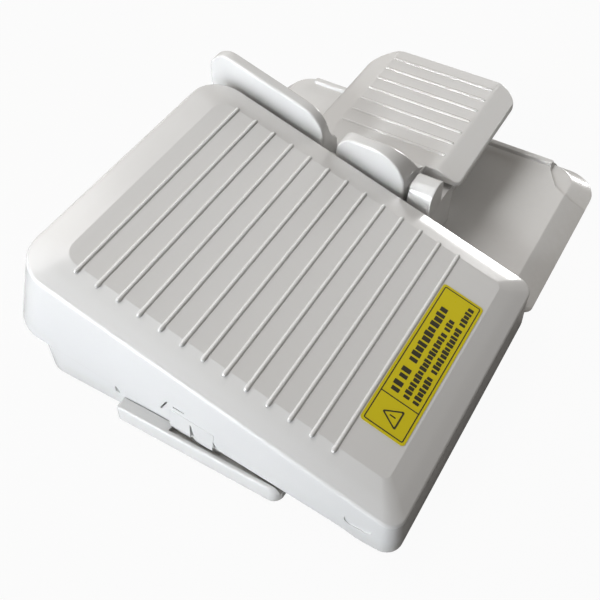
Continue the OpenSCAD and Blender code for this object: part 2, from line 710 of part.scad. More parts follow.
module housing_side(t, z0) along_y(ear_y - 1, housing_toe + 1) polygon([[side_x, z0], [housing_right, z0],
    [housing_right, housing_low - t], [side_x + 26, housing_high - t], [side_x, housing_high - t]]);

// Bearing at one end of the side axle, on its pillar
module bearing(y0, y1) along_y(y0, y1) polygon(outline([[side_x, housing_high - 4, 0],
    [side_x, bearing_top, bearing_left_r], [side_x + 2 * barrel_r, bearing_top, bearing_r],
    [side_x + 2 * barrel_r, housing_high - 4, 0]]));

// The fixed guard, whose top runs parallel to the tread
module fixed_guard(t) along_x(side_x + t, side_x + guard_t - t) polygon(outline([
    [tower_y + t, tray_h + 0.05, 0], [tower_y + t, fixed_guard_h - 78 * tan(slope) - t, 20 - t],
    [fixed_guard_toe - t, fixed_guard_h - t, 12 - t], [fixed_guard_toe - t, tray_h + 0.05, 0]], 12));

module side_base() color(shell_white) bench() difference() {
    union() {
        difference() {
            union() {
                intersection() {
                    housing_plan(0);
                    housing_side(0, tray_h + 0.05);
                }
                fixed_guard(0);
                bearing(ear_y, ear_toe);
                bearing(tower_y, tower_toe);
            }
            intersection() {
                housing_plan(base_wall);
                housing_side(base_wall, 0);
            }
        }
        // Cup of the return spring and the foot of the rubber stop
        post(side_spring_x, side_mid_y, side_spring_low - 2, housing_at(side_spring_x), side_spring_r + 3);
        post(side_bumper_x, side_mid_y, housing_at(side_bumper_x) - 4, housing_at(side_bumper_x), side_bumper_r + 2);
        for (y = side_screw_y)
            post(side_screw_x, y, tray_h + side_floor_t + 0.1, housing_at(side_screw_x) - 1, 4.5);
        for (p = side_floor_hole)
            post(p[0], p[1], tray_h + side_floor_t + 0.1, housing_at(p[0] + 3.5) - 1, 3.5);
    }
    // Hollow of the fixed guard, open underneath
    intersection() {
        fixed_guard(2.2);
        block(side_x, housing_toe + 1, 0, side_x + 20, fixed_guard_toe, 200);
    }
    block(side_x + 2.2, housing_toe + 1, 0, side_x + guard_t - 2.2, fixed_guard_toe - 2.2, tray_h + 2);
    rod_y(ear_y + 3, tower_toe + clip_room, side_axle_x, side_axle_z, side_axle_r + run_fit);
    // Room for the axle's clip
    rod_y(tower_toe, tower_toe + clip_room, side_axle_x, side_axle_z, side_axle_r + 3);
    post(side_spring_x, side_mid_y, side_spring_low, side_h, side_spring_r + 1);
    post(side_bumper_x, side_mid_y, side_bumper_top - 4.5, side_h, side_bumper_r + 0.1);
    post(side_sensor_x, side_mid_y, side_plunger_top - 4, side_h, 5);
    for (y = side_screw_y) post(side_screw_x, y, 0, tray_h + 14, screw_r - 0.1);
    for (p = side_floor_hole) post(p[0], p[1], 0, tray_h + 12, screw_r - 0.25);
    rod_y(housing_toe - base_wall - 1, housing_toe + 1, side_gland_x, tray_h + 14, 4);
}

side_floor_hole = [[side_x + 10, housing_y + 7], [housing_right - 8, housing_y + 8],
    [housing_right - 8, housing_toe - 8], [side_x + 10, housing_toe - 8]];

module side_floor() color(inner_grey) bench() difference() {
    union() {
        translate([0, 0, tray_h + 0.05]) linear_extrude(side_floor_t) polygon(outline([
            [side_x + base_wall + 0.2, ear_y + base_wall + 0.2, 1],
            [side_x + 37 - base_wall - 0.2, ear_y + base_wall + 0.2, 4],
            [side_x + 50.5, housing_y + base_wall + 0.2, 4],
            [housing_right - base_wall - 0.2, housing_y + base_wall + 0.2, 6.5],
            [housing_right - base_wall - 0.2, housing_toe - base_wall - 0.2, 6.5],
            [side_x + base_wall + 0.2, housing_toe - base_wall - 0.2, 1]]));
        for (s = [-1, 1]) {
            x = side_board_x + s * 8;
            post(x, side_board_peg_y, tray_h + side_floor_t - 0.3, side_board_z - 0.05, 2.3);
            post(x, side_board_peg_y, tray_h + side_floor_t, side_board_z + board_t + 0.8, 0.9);
        }
    }
    for (y = side_screw_y) post(side_screw_x, y, 0, tray_h + 10, screw_r + 0.2);
    for (p = side_floor_hole) {
        post(p[0], p[1], 0, 30, screw_r);
        post(p[0], p[1], 0, tray_h + 1.6, 3);
    }
}

module side_floor_screws() color(steel) bench() for (p = side_floor_hole) {
    post(p[0], p[1], tray_h + 1.6, tray_h + 11, screw_r - 0.3);
    post(p[0], p[1], tray_h + 0.3, tray_h + 1.6, 2.7);
}

// Closed form of the side pedal's plate, drawn in by t
module side_plate_form(t) hull() {
    translate([0, 0, side_h - t - slab_t]) slab(outline([
        [side_axle_x + 1.3 + t, side_y + 15, 2], [side_right - 2.5 - t, side_y + 15, 14],
        [side_right - 2.5 - t, side_toe - 15, 16], [side_axle_x + 1.3 + t, side_toe - 15, 2]]));
    translate([0, 0, side_h - t - 1.2]) slab(outline([
        [side_axle_x + 1.3 + t, side_y + 11, 2], [side_right - t, side_y + 11, 14],
        [side_right - t, side_toe - 11, 16], [side_axle_x + 1.3 + t, side_toe - 11, 2]]));
    for (z = [side_h - t - 5.5, side_h - 8 - t]) translate([0, 0, z]) slab(outline([
        [side_axle_x + 1.3 + t, side_y + t, 2], [side_right - t, side_y + t, 15 - t],
        [side_right - t, side_toe - t, 20 - t], [side_axle_x + 1.3 + t, side_toe - t, 2]]));
}

side_notch_x = side_x + 28.5;

module guard_form() intersection() {
    along_x(side_x, side_x + 40) polygon(outline([[guard_toe, side_h - 8, 0], [guard_toe, guard_h, 12],
        [guard_y, guard_h, 22], [guard_y, side_h - 8, 0]], 12));
    along_y(guard_y - 1, guard_toe + 1) polygon(outline([[side_x, side_h - 20, 0], [side_x, guard_h, 1],
        [side_x + 8.3, guard_h, 2], [side_x + 21, side_h + 6, 18], [side_x + 34, side_h - 0.5, 0],
        [side_x + 34, side_h - 3, 0], [side_x + 18, side_h - 3, 0], [side_x + 14, side_h - 20, 0]], 10));
}

module side_pedal() color(shell_white) bench() difference() {
    union() {
        difference() {
            side_plate_form(0);
            difference() {
                side_plate_form(side_wall);
                // Solid band along the hinge
                block(side_x, side_y, 0, side_x + 24, side_toe, side_h);
            }
            block(side_x, side_y, 0, side_right, side_toe, side_h - 8);
            // Notches around the two bearings
            block(side_x, side_y - 1, 0, side_notch_x, guard_y - 1, side_h + 1);
            block(side_x, guard_toe, 0, side_x + 2 * barrel_r + 1.2, tower_toe + clip_room + 0.3, side_h + 1);
        }
        guard_form();
        rod_y(guard_y, guard_toe, side_axle_x, side_axle_z, barrel_r);
        for (i = [0:side_rib_count - 1])
            rod_y(side_y + 16, side_toe - 15, side_right - 10.5 - i * side_rib_pitch,
                side_h + rib_rise - rib_r, rib_r);
        // Spring seat, stop boss and the finger that works the sensor
        post(side_spring_x, side_mid_y, side_h - 7, side_h - 1, side_spring_r + 2.5);
        post(side_bumper_x, side_mid_y, side_bumper_top + side_drop + stop_gap, side_h - 1, side_bumper_r + 2);
        post(side_sensor_x, side_mid_y, side_plunger_top + touch_gap, side_h - 1, 2.5);
    }
    rod_y(guard_y - 1, guard_toe + 1, side_axle_x, side_axle_z, side_axle_r + run_fit);
    post(side_spring_x, side_mid_y, 0, side_h - 5, side_spring_r + 1);
}
// Drop of the stop boss's outer edge at full travel, and the gap that it leaves
side_drop = (side_bumper_x + side_bumper_r + 2 - side_axle_x) * sin(side_travel);
stop_gap = 0.3;

module side_axle() color(steel) bench()
    rod_y(ear_y + 3.5, tower_toe + clip_room - 0.5, side_axle_x, side_axle_z, side_axle_r);

module side_axle_clip() color([0.35, 0.35, 0.37]) bench() difference() {
    rod_y(tower_toe + 0.3, tower_toe + 1.3, side_axle_x, side_axle_z, side_axle_r + 2.2);
    rod_y(tower_toe - 1, tower_toe + 3, side_axle_x, side_axle_z, side_axle_r + 0.02);
    block(side_axle_x - 1, tower_toe - 1, side_axle_z - 10, side_axle_x + 1, tower_toe + 3, side_axle_z);
}

module side_spring() color(steel) bench()
    coil(side_spring_x, side_mid_y, side_spring_low, side_h - 5, side_spring_r, 1.1, 5);

module side_bumper() color(rubber_grey) bench()
    post(side_bumper_x, side_mid_y, side_bumper_top - 4.5, side_bumper_top, side_bumper_r);

side_sensor_low = tray_h + side_floor_t + 0.05;

module side_sensor_body() color([0.2, 0.22, 0.25]) bench() difference() {
    translate([side_sensor_x, side_mid_y, side_sensor_low])
        linear_extrude(side_plunger_top - 6 - side_sensor_low) polygon(rect(-8, -5, 8, 5, 1));
    post(side_sensor_x, side_mid_y, side_sensor_low + 2, side_h, side_plunger_r + run_fit);
}

module side_sensor_plunger() color([0.9, 0.9, 0.88]) bench()
    post(side_sensor_x, side_mid_y, side_sensor_low + 6, side_plunger_top, side_plunger_r);

side_board_z = tray_h + side_floor_t + 3.1;

module side_board() color([0.1, 0.4, 0.25]) bench() difference() {
    translate([side_board_x, side_mid_y, side_board_z]) linear_extrude(board_t)
        polygon(rect(-11, -15, 11, 15, 1.5));
    for (s = [-1, 1]) post(side_board_x + s * 8, side_board_peg_y, side_board_z - 1, side_board_z + 3, 1);
}

module side_board_components() color([0.15, 0.15, 0.16]) bench() {
    z = side_board_z + board_t;
    block(side_board_x - 5, side_mid_y - 5, z, side_board_x + 5, side_mid_y + 5, z + 1.6);
    block(side_board_x - 6, side_mid_y + 10, z, side_board_x + 6, side_mid_y + 13, z + 6);
}

module side_cord_gland() color(rubber_grey) bench() difference() {
    union() {
        rod_y(housing_toe - base_wall - 1.5, housing_toe + 2, side_gland_x, tray_h + 14, 3.9);
        rod_y(housing_toe + 0.05, housing_toe + 2, side_gland_x, tray_h + 14, 5.5);
        rod_y(housing_toe - base_wall - 1.5, housing_toe - base_wall - 0.05, side_gland_x, tray_h + 14, 5);
    }
    rod_y(housing_toe - 10, housing_toe + 4, side_gland_x, tray_h + 14, 2.2);
}

main_pedal_cover();
warning_label();
pedal_frame();
cover_screws();
pedal_bushes();
main_base();
pedal_axle();
axle_caps();
axle_cap_screws();
return_spring_left();
return_spring_right();
stop_bumpers();
main_board();
board_screws();
board_components();
sensor_body();
sensor_slider();
machine_jack();
side_pedal_jack();
jack_nuts();
base_feet();
mounting_plate();
plate_feet();
plate_screws();
side_base();
side_floor();
side_floor_screws();
side_pedal();
side_axle();
side_axle_clip();
side_spring();
side_bumper();
side_sensor_body();
side_sensor_plunger();
side_board();
side_board_components();
side_cord_gland();
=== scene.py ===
# %% [markdown]
# # A sewing machine's foot controller
# This lesson finishes a foot controller around a CAD model that already works: a wide
# tread pedal, a small side pedal with upright guards, and the plate that joins them.
# The CAD part fixes every place and size; Blender gives soft moulded edges and finishes.

# %% Load the CAD part
import json
import math
import bmesh
import bpy
from mathutils import Matrix, Vector


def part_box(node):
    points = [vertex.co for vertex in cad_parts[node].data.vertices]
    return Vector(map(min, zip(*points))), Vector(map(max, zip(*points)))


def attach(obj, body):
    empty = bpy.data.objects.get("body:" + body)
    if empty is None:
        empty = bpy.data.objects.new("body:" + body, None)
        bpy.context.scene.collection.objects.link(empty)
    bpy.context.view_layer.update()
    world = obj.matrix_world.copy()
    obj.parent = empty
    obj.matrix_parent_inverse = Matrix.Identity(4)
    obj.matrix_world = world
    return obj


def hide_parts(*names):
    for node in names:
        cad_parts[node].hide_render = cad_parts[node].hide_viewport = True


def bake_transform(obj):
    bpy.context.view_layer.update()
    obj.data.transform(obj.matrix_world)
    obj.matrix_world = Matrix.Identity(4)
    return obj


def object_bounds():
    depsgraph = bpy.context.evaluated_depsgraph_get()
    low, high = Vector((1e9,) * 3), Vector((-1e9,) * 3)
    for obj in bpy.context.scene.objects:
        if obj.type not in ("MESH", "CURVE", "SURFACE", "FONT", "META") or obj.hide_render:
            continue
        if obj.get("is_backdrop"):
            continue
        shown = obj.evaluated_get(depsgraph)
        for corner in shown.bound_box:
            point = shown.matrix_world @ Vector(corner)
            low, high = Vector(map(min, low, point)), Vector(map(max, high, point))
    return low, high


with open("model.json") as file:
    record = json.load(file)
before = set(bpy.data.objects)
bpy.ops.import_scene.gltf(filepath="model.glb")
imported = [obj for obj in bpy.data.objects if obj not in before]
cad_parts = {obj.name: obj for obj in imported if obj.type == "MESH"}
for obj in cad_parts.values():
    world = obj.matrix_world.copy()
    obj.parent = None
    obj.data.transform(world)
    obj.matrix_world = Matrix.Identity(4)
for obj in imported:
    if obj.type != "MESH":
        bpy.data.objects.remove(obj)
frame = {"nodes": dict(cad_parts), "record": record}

cad_low, cad_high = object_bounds()
MM = 0.001
print("CAD box in mm:", [round(v / MM, 1) for v in cad_high - cad_low])

# %% [markdown]
# A maker measures from a corner of the bench, not from the middle of the part. All the
# numbers below are millimetres from the plate's left edge (x), its heel edge (y) and the
# ground (z), and `bench` turns such a point into the part's own metres.

# %% The bench corner
def bench(x, y, z):
    return Vector((cad_low.x + x * MM, cad_low.y + y * MM, z * MM))


def along(a, b, t):
    return a + (b - a) * t


# %% [markdown]
# The camera comes first. It looks down over the left heel corner, turned so that the
# tread's heel edge runs up to the right.
# A rotation written as three directions (right, up, back) is easier to reason about
# than Euler angles: each one is a column of the matrix.

# %% Camera
def look(name, place, forward, up, lens):
    forward = forward.normalized()
    right = forward.cross(up).normalized()
    up = right.cross(forward)
    camera = bpy.data.objects.new(name, bpy.data.cameras.new(name))
    bpy.context.scene.collection.objects.link(camera)
    turn = Matrix((right, up, -forward)).transposed().to_4x4()
    camera.matrix_world = Matrix.Translation(place) @ turn
    camera.data.sensor_width = 36
    camera.data.lens = lens
    return camera


VIEW_PLACE = Vector((-0.318, -0.1671, 0.4027))
VIEW_FORWARD, VIEW_UP = Vector((0.5435, 0.3286, -0.7724)), Vector((0.6675, 0.3888, 0.6351))
VIEW_LENS = 51.84
bpy.context.scene.camera = look("product_view", VIEW_PLACE, VIEW_FORWARD, VIEW_UP, VIEW_LENS)
print("camera looks from", [round(v, 3) for v in bpy.context.scene.camera.location])

# %% [markdown]
# White plastic on white paper is drawn by its shading alone, so the light decides
# everything. A strong low window stands on the left, so the left walls glow and the heel
# wall falls into shade. A narrow strip stands on the right: it is there to be mirrored in
# the right-hand bevel. The sky fills in softly from above.

# %% Lights and sky
def window(name, place, target, width, height, power, colour, spread=180):
    lamp = bpy.data.objects.new(name, bpy.data.lights.new(name, "AREA"))
    bpy.context.scene.collection.objects.link(lamp)
    lamp.data.shape = "RECTANGLE"
    lamp.data.size = width
    lamp.data.size_y = height
    lamp.data.energy = power
    lamp.data.color = colour
    lamp.data.spread = math.radians(spread)
    lamp.location = place
    lamp.rotation_euler = (target - place).to_track_quat("-Z", "Y").to_euler()
    lamp.visible_camera = False
    return lamp


CENTRE = Vector((0, 0, 0.04))
window("left_window", Vector((-1.3, 0.34, 0.26)), CENTRE, 0.9, 0.5, 17, (0.87, 0.93, 1.0))
window("right_strip", Vector((1.5, -0.24, 0.27)), Vector((0, -0.05, 0.03)), 0.3, 0.24, 9, (1.0, 1.0, 1.0))
window("top_softbox", Vector((0.1, 0.9, 1.5)), CENTRE, 1.4, 1.0, 18, (1.0, 0.99, 0.985))
window("guard_window", Vector((-0.8, 0.3, 0.6)), Vector((0.06, 0.02, 0.07)), 0.3, 0.3, 0.13,
       (0.95, 0.98, 1.0), 16)


def sky(dim, bright, towards):
    """A room that is dim on one side and bright towards the other, and white when seen."""
    world = bpy.data.worlds.new("studio")
    bpy.context.scene.world = world
    world.use_nodes = True
    nodes, links = world.node_tree.nodes, world.node_tree.links
    place = nodes.new("ShaderNodeTexCoord")
    facing = nodes.new("ShaderNodeVectorMath")
    facing.operation = "DOT_PRODUCT"
    facing.inputs[1].default_value = towards.normalized()
    fade = nodes.new("ShaderNodeMapRange")
    fade.inputs["From Min"].default_value = -0.6
    fade.inputs["From Max"].default_value = 0.9
    fade.inputs["To Min"].default_value = dim
    fade.inputs["To Max"].default_value = bright
    seen = nodes.new("ShaderNodeLightPath")
    level = nodes.new("ShaderNodeMath")
    level.operation = "MAXIMUM"
    links.new(place.outputs["Generated"], facing.inputs[0])
    links.new(facing.outputs["Value"], fade.inputs["Value"])
    links.new(seen.outputs["Is Camera Ray"], level.inputs[0])
    links.new(fade.outputs["Result"], level.inputs[1])
    links.new(level.outputs[0], nodes["Background"].inputs["Strength"])
    tint = nodes.new("ShaderNodeMix")
    tint.data_type = "RGBA"
    tint.inputs["A"].default_value = (1.0, 0.945, 0.885, 1)
    tint.inputs["B"].default_value = (1, 1, 1, 1)
    links.new(seen.outputs["Is Camera Ray"], tint.inputs["Factor"])
    links.new(tint.outputs["Result"], nodes["Background"].inputs["Color"])


sky(0.06, 0.39, Vector((-0.25, 0.75, 0.6)))
bpy.context.scene.view_settings.view_transform = "Standard"


def floor():
    bpy.ops.mesh.primitive_plane_add(size=8)
    sheet = bpy.context.object
    sheet.name = "floor"
    sheet.location.z = -0.2 * MM
    paper = bpy.data.materials.new("paper")
    paper.use_nodes = True
    nodes, links = paper.node_tree.nodes, paper.node_tree.links
    nodes["Principled BSDF"].inputs["Base Color"].default_value = (0.3, 0.29, 0.28, 1)
    nodes["Principled BSDF"].inputs["Roughness"].default_value = 0.9
    glow = nodes.new("ShaderNodeEmission")
    seen = nodes.new("ShaderNodeLightPath")
    both = nodes.new("ShaderNodeMixShader")
    share = nodes.new("ShaderNodeMath")
    share.operation = "MULTIPLY"
    share.inputs[1].default_value = 0.95
    links.new(seen.outputs["Is Camera Ray"], share.inputs[0])
    links.new(share.outputs[0], both.inputs["Fac"])
    links.new(nodes["Principled BSDF"].outputs[0], both.inputs[1])
    links.new(glow.outputs[0], both.inputs[2])
    links.new(both.outputs[0], nodes["Material Output"].inputs["Surface"])
    sheet.data.materials.append(paper)
    sheet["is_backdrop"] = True


floor()

# %% [markdown]
# Every finish on this controller is moulded, rolled, cast or plated, and all of them
# share one thing: a fine surface that is never quite even. That effect is a node group
# with named inputs, so each material sets its own grain size, depth and stain. The group
# gives out a colour, a roughness and a normal; the shader itself stays in the material.

# %% The shared surface group
def socket(group, name, direction, kind, value=None):
    made = group.interface.new_socket(name, in_out=direction, socket_type=kind)
    if value is not None:
        made.default_value = value


def surface_group():
    group = bpy.data.node_groups.new("uneven_surface", "ShaderNodeTree")
    socket(group, "Colour", "INPUT", "NodeSocketColor", (0.8, 0.8, 0.8, 1))
    socket(group, "Stain", "INPUT", "NodeSocketColor", (0.6, 0.58, 0.52, 1))
    socket(group, "Stain Share", "INPUT", "NodeSocketFloat", 0.1)
    socket(group, "Roughness", "INPUT", "NodeSocketFloat", 0.4)
    socket(group, "Roughness Spread", "INPUT", "NodeSocketFloat", 0.1)
    socket(group, "Grain Scale", "INPUT", "NodeSocketFloat", 1500.0)
    socket(group, "Grain Depth", "INPUT", "NodeSocketFloat", 0.1)
    socket(group, "Stretch", "INPUT", "NodeSocketVector", (1, 1, 1))
    socket(group, "Colour", "OUTPUT", "NodeSocketColor")
    socket(group, "Roughness", "OUTPUT", "NodeSocketFloat")
    socket(group, "Normal", "OUTPUT", "NodeSocketVector")
    nodes, links = group.nodes, group.links
    given = nodes.new("NodeGroupInput")
    result = nodes.new("NodeGroupOutput")
    place = nodes.new("ShaderNodeTexCoord")
    stretched = nodes.new("ShaderNodeVectorMath")
    stretched.operation = "MULTIPLY"
    links.new(place.outputs["Object"], stretched.inputs[0])
    links.new(given.outputs["Stretch"], stretched.inputs[1])

    def noise(scale, detail):
        made = nodes.new("ShaderNodeTexNoise")
        made.inputs["Detail"].default_value = detail
        links.new(stretched.outputs[0], made.inputs["Vector"])
        if isinstance(scale, (int, float)):
            made.inputs["Scale"].default_value = scale
        else:
            links.new(scale, made.inputs["Scale"])
        return made

    clouds = noise(14, 2)
    blotch = noise(260, 3)
    grain = noise(given.outputs["Grain Scale"], 2)
    # Stain: soft clouds, a little stronger where the blotches lie
    share = nodes.new("ShaderNodeMapRange")
    share.inputs["From Min"].default_value = 0.35
    share.inputs["From Max"].default_value = 0.8
    links.new(clouds.outputs["Fac"], share.inputs["Value"])
    links.new(given.outputs["Stain Share"], share.inputs["To Max"])
    stain = nodes.new("ShaderNodeMix")
    stain.data_type = "RGBA"
    links.new(share.outputs["Result"], stain.inputs["Factor"])
    links.new(given.outputs["Colour"], stain.inputs["A"])
    links.new(given.outputs["Stain"], stain.inputs["B"])
    # Roughness: the stated value, give or take the spread
    centred = nodes.new("ShaderNodeMath")
    centred.operation = "SUBTRACT"
    centred.inputs[1].default_value = 0.5
    links.new(blotch.outputs["Fac"], centred.inputs[0])
    spread = nodes.new("ShaderNodeMath")
    spread.operation = "MULTIPLY_ADD"
    links.new(centred.outputs[0], spread.inputs[0])
    links.new(given.outputs["Roughness Spread"], spread.inputs[1])
    links.new(given.outputs["Roughness"], spread.inputs[2])
    bump = nodes.new("ShaderNodeBump")
    bump.inputs["Distance"].default_value = 0.0002
    links.new(given.outputs["Grain Depth"], bump.inputs["Strength"])
    links.new(grain.outputs["Fac"], bump.inputs["Height"])
    links.new(stain.outputs["Result"], result.inputs["Colour"])
    links.new(spread.outputs[0], result.inputs["Roughness"])
    links.new(bump.outputs["Normal"], result.inputs["Normal"])
    return group


SURFACE = surface_group()

# %% [markdown]
# This group paints shade near the ground: the lower a wall lies, the more of a warm grey
# it mixes into the colour, in patches. An ambient-occlusion test would find such shaded
# corners; height stands in for it here.

# %% The painted ground-shade group
def ground_shade_group():
    group = bpy.data.node_groups.new("painted_ground_shade", "ShaderNodeTree")
    socket(group, "Colour", "INPUT", "NodeSocketColor", (0.8, 0.8, 0.8, 1))
    socket(group, "Shade Colour", "INPUT", "NodeSocketColor", (0.45, 0.42, 0.37, 1))
    socket(group, "Height", "INPUT", "NodeSocketFloat", 0.012)
    socket(group, "Share", "INPUT", "NodeSocketFloat", 0.15)
    socket(group, "Colour", "OUTPUT", "NodeSocketColor")
    nodes, links = group.nodes, group.links
    given = nodes.new("NodeGroupInput")
    result = nodes.new("NodeGroupOutput")
    place = nodes.new("ShaderNodeTexCoord")
    parts = nodes.new("ShaderNodeSeparateXYZ")
    links.new(place.outputs["Object"], parts.inputs[0])
    # Painted shade: the colour darkens towards the ground, over the lowest Height of the piece, in patches
    low = nodes.new("ShaderNodeMapRange")
    links.new(parts.outputs["Z"], low.inputs["Value"])
    links.new(given.outputs["Height"], low.inputs["From Max"])
    low.inputs["To Min"].default_value = 1
    low.inputs["To Max"].default_value = 0
    shade_patches = nodes.new("ShaderNodeTexNoise")
    shade_patches.inputs["Scale"].default_value = 260
    shade_patches.inputs["Detail"].default_value = 4
    links.new(place.outputs["Object"], shade_patches.inputs["Vector"])
    patchy = nodes.new("ShaderNodeMath")
    patchy.operation = "MULTIPLY"
    links.new(low.outputs["Result"], patchy.inputs[0])
    links.new(shade_patches.outputs["Fac"], patchy.inputs[1])
    amount = nodes.new("ShaderNodeMath")
    amount.operation = "MULTIPLY"
    links.new(patchy.outputs[0], amount.inputs[0])
    links.new(given.outputs["Share"], amount.inputs[1])
    mix = nodes.new("ShaderNodeMix")
    mix.data_type = "RGBA"
    links.new(amount.outputs[0], mix.inputs["Factor"])
    links.new(given.outputs["Colour"], mix.inputs["A"])
    links.new(given.outputs["Shade Colour"], mix.inputs["B"])
    links.new(mix.outputs["Result"], result.inputs["Colour"])
    return group


GROUND_SHADE = ground_shade_group()

# %% [markdown]
# One function places both groups in a material and joins them to a Principled shader.
# What is the same all over, such as the coat or the specular level, is set on the shader.

# %% Materials
def finish(name, colour, roughness, spread=0.08, stain=None, share=0.1, grain=1500.0, depth=0.1,
           stretch=(1, 1, 1), ground_shade=0.0, **constant):
    made = bpy.data.materials.new(name)
    made.use_nodes = True
    nodes, links = made.node_tree.nodes, made.node_tree.links
    shader = nodes["Principled BSDF"]
    uneven = nodes.new("ShaderNodeGroup")
    uneven.node_tree = SURFACE
    uneven.inputs["Colour"].default_value = (*colour, 1)
    uneven.inputs["Stain"].default_value = (*(stain or [c * 0.8 for c in colour]), 1)
    uneven.inputs["Stain Share"].default_value = share
    uneven.inputs["Roughness"].default_value = roughness
    uneven.inputs["Roughness Spread"].default_value = spread
    uneven.inputs["Grain Scale"].default_value = grain
    uneven.inputs["Grain Depth"].default_value = depth
    uneven.inputs["Stretch"].default_value = stretch
    colour_from = uneven.outputs["Colour"]
    # Painted shade near the ground, mixed into the colour
    if ground_shade:
        ground_shaded = nodes.new("ShaderNodeGroup")
        ground_shaded.node_tree = GROUND_SHADE
        ground_shaded.inputs["Share"].default_value = ground_shade
        links.new(colour_from, ground_shaded.inputs["Colour"])
        colour_from = ground_shaded.outputs["Colour"]
    links.new(colour_from, shader.inputs["Base Color"])
    links.new(uneven.outputs["Roughness"], shader.inputs["Roughness"])
    links.new(uneven.outputs["Normal"], shader.inputs["Normal"])
    for key, value in constant.items():
        shader.inputs[key.replace("_", " ").title().replace("Ior", "IOR")].default_value = value
    return made


# Some finishes below mix in painted shade near the ground, with the share given
FINISH = {
    "shell_plastic": finish("shell_white", (0.63, 0.625, 0.615), 0.2, spread=0.03,
                            stain=(0.6, 0.58, 0.54),
                            share=0.12, grain=2600, depth=0.05, ground_shade=0.5),
    "label_film": finish("label_yellow", (0.6, 0.5, 0.002), 0.3, spread=0.12, stain=(0.5, 0.4, 0.01),
                         share=0.25, grain=900, depth=0.03, coat_weight=0.3, coat_roughness=0.15),
    "frame_plastic": finish("frame_grey", (0.26, 0.27, 0.28), 0.5, grain=1800, depth=0.25, ground_shade=0.3),
    "steel": finish("zinc_plate", (0.62, 0.62, 0.6), 0.32, spread=0.2, stain=(0.5, 0.47, 0.36),
                    share=0.35,
                    grain=2200, depth=0.12, metallic=1.0),
    "nylon": finish("natural_acetal", (0.74, 0.73, 0.68), 0.42, grain=2400, depth=0.08),
    "rubber": finish("soft_rubber", (0.045, 0.045, 0.048), 0.75, grain=1300, depth=0.5, ground_shade=0.8),
    "circuit_board": finish("solder_mask", (0.012, 0.09, 0.045), 0.35, spread=0.1, grain=700, depth=0.12,
                            coat_weight=0.4, coat_roughness=0.2),
    "black_plastic": finish("moulded_black", (0.018, 0.018, 0.02), 0.45, grain=1700, depth=0.3),
}
PRINT = finish("printing_ink", (0.03, 0.026, 0.012), 0.4, spread=0.05, share=0.4, grain=1600, depth=0.05)
print("finishes:", ", ".join(sorted(m.name for m in FINISH.values())))

# %% Dress every CAD node in its slot's finish
SLOT_OF = {row["node"]: row["material_slot"] for row in frame["record"]["subparts"]}
for node, piece in frame["nodes"].items():
    for material_slot in piece.material_slots:
        material_slot.material = FINISH[SLOT_OF[node]]

# %% [markdown]
# Moulded parts are drawn here the way a pattern maker cuts them: as outlines. An outline
# is a list of corners, each with its own radius. `outline` rounds them, `inset` moves the
# whole outline inwards, and `loft` skins a row of outlines into one closed solid.

# %% Outlines
def outline(corners, steps=6):
    points = []
    for i, (a, b, radius) in enumerate(corners):
        at = Vector((a, b))
        if radius <= 0:
            points.append(at)
            continue
        u = (Vector(corners[i - 1][:2]) - at).normalized()
        v = (Vector(corners[(i + 1) % len(corners)][:2]) - at).normalized()
        half = u.angle(v) / 2
        centre = at + (u + v).normalized() * radius / math.sin(half)
        start = at + u * radius / math.tan(half) - centre
        end = at + v * radius / math.tan(half) - centre
        points += [centre + start.lerp(end, k / steps).normalized() * radius for k in range(steps + 1)]
    area = sum(p.x * q.y - q.x * p.y for p, q in zip(points, points[1:] + points[:1]))
    return points if area > 0 else points[::-1]


def rectangle(x0, y0, x1, y1, radius, steps=6):
    return outline([(x0, y0, radius), (x1, y0, radius), (x1, y1, radius), (x0, y1, radius)], steps)


def circle(x, y, radius, count=40):
    turn = math.tau / count
    return [Vector((x + radius * math.cos(i * turn), y + radius * math.sin(i * turn)))
            for i in range(count)]


def inset(points, distance):
    moved = []
    for i, at in enumerate(points):
        u = (at - points[i - 1]).normalized()
        v = (points[(i + 1) % len(points)] - at).normalized()
        left = Vector((-u.y, u.x))
        both = (left + Vector((-v.y, v.x))).normalized()
        moved.append(at + both * distance / max(0.35, both.dot(left)))
    return moved


# %% Lofts and prisms
def loft(name, rings):
    """A closed solid through rings of bench points that all have the same count."""
    mesh = bmesh.new()
    rows = [[mesh.verts.new(bench(*point)) for point in ring] for ring in rings]
    for low_row, high_row in zip(rows, rows[1:]):
        for i, low_vertex in enumerate(low_row):
            j = (i + 1) % len(low_row)
            mesh.faces.new((low_vertex, low_row[j], high_row[j], high_row[i]))
    mesh.faces.new(rows[0][::-1])
    mesh.faces.new(rows[-1])
    bmesh.ops.recalc_face_normals(mesh, faces=mesh.faces)
    return piece_from(name, mesh)


def piece_from(name, mesh):
    data = bpy.data.meshes.new(name)
    mesh.to_mesh(data)
    mesh.free()
    piece = bpy.data.objects.new(name, data)
    bpy.context.scene.collection.objects.link(piece)
    return piece


PLACE = {"x": lambda a, b, s: (s, a, b), "y": lambda a, b, s: (a, s, b), "z": lambda a, b, s: (a, b, s)}


def prism(name, points, axis, low, high, edge=0.5, steps=3):
    """An outline pushed along an axis, with both its end edges rounded to radius edge."""
    turns = [math.pi / 2 * k / steps for k in range(steps + 1)] if edge else [math.pi / 2]
    rings = []
    for end, sign in ((low, 1), (high, -1)):
        ends = []
        for turn in turns:
            shrunk = inset(points, edge * (1 - math.sin(turn)))
            station = end + sign * edge * (1 - math.cos(turn))
            ends.append([PLACE[axis](p.x, p.y, station) for p in shrunk])
        rings += ends if sign > 0 else ends[::-1]
    return loft(name, rings)


def box(name, x0, y0, z0, x1, y1, z1, edge=0.0):
    return prism(name, rectangle(x0, y0, x1, y1, 0), "z", z0, z1, edge)
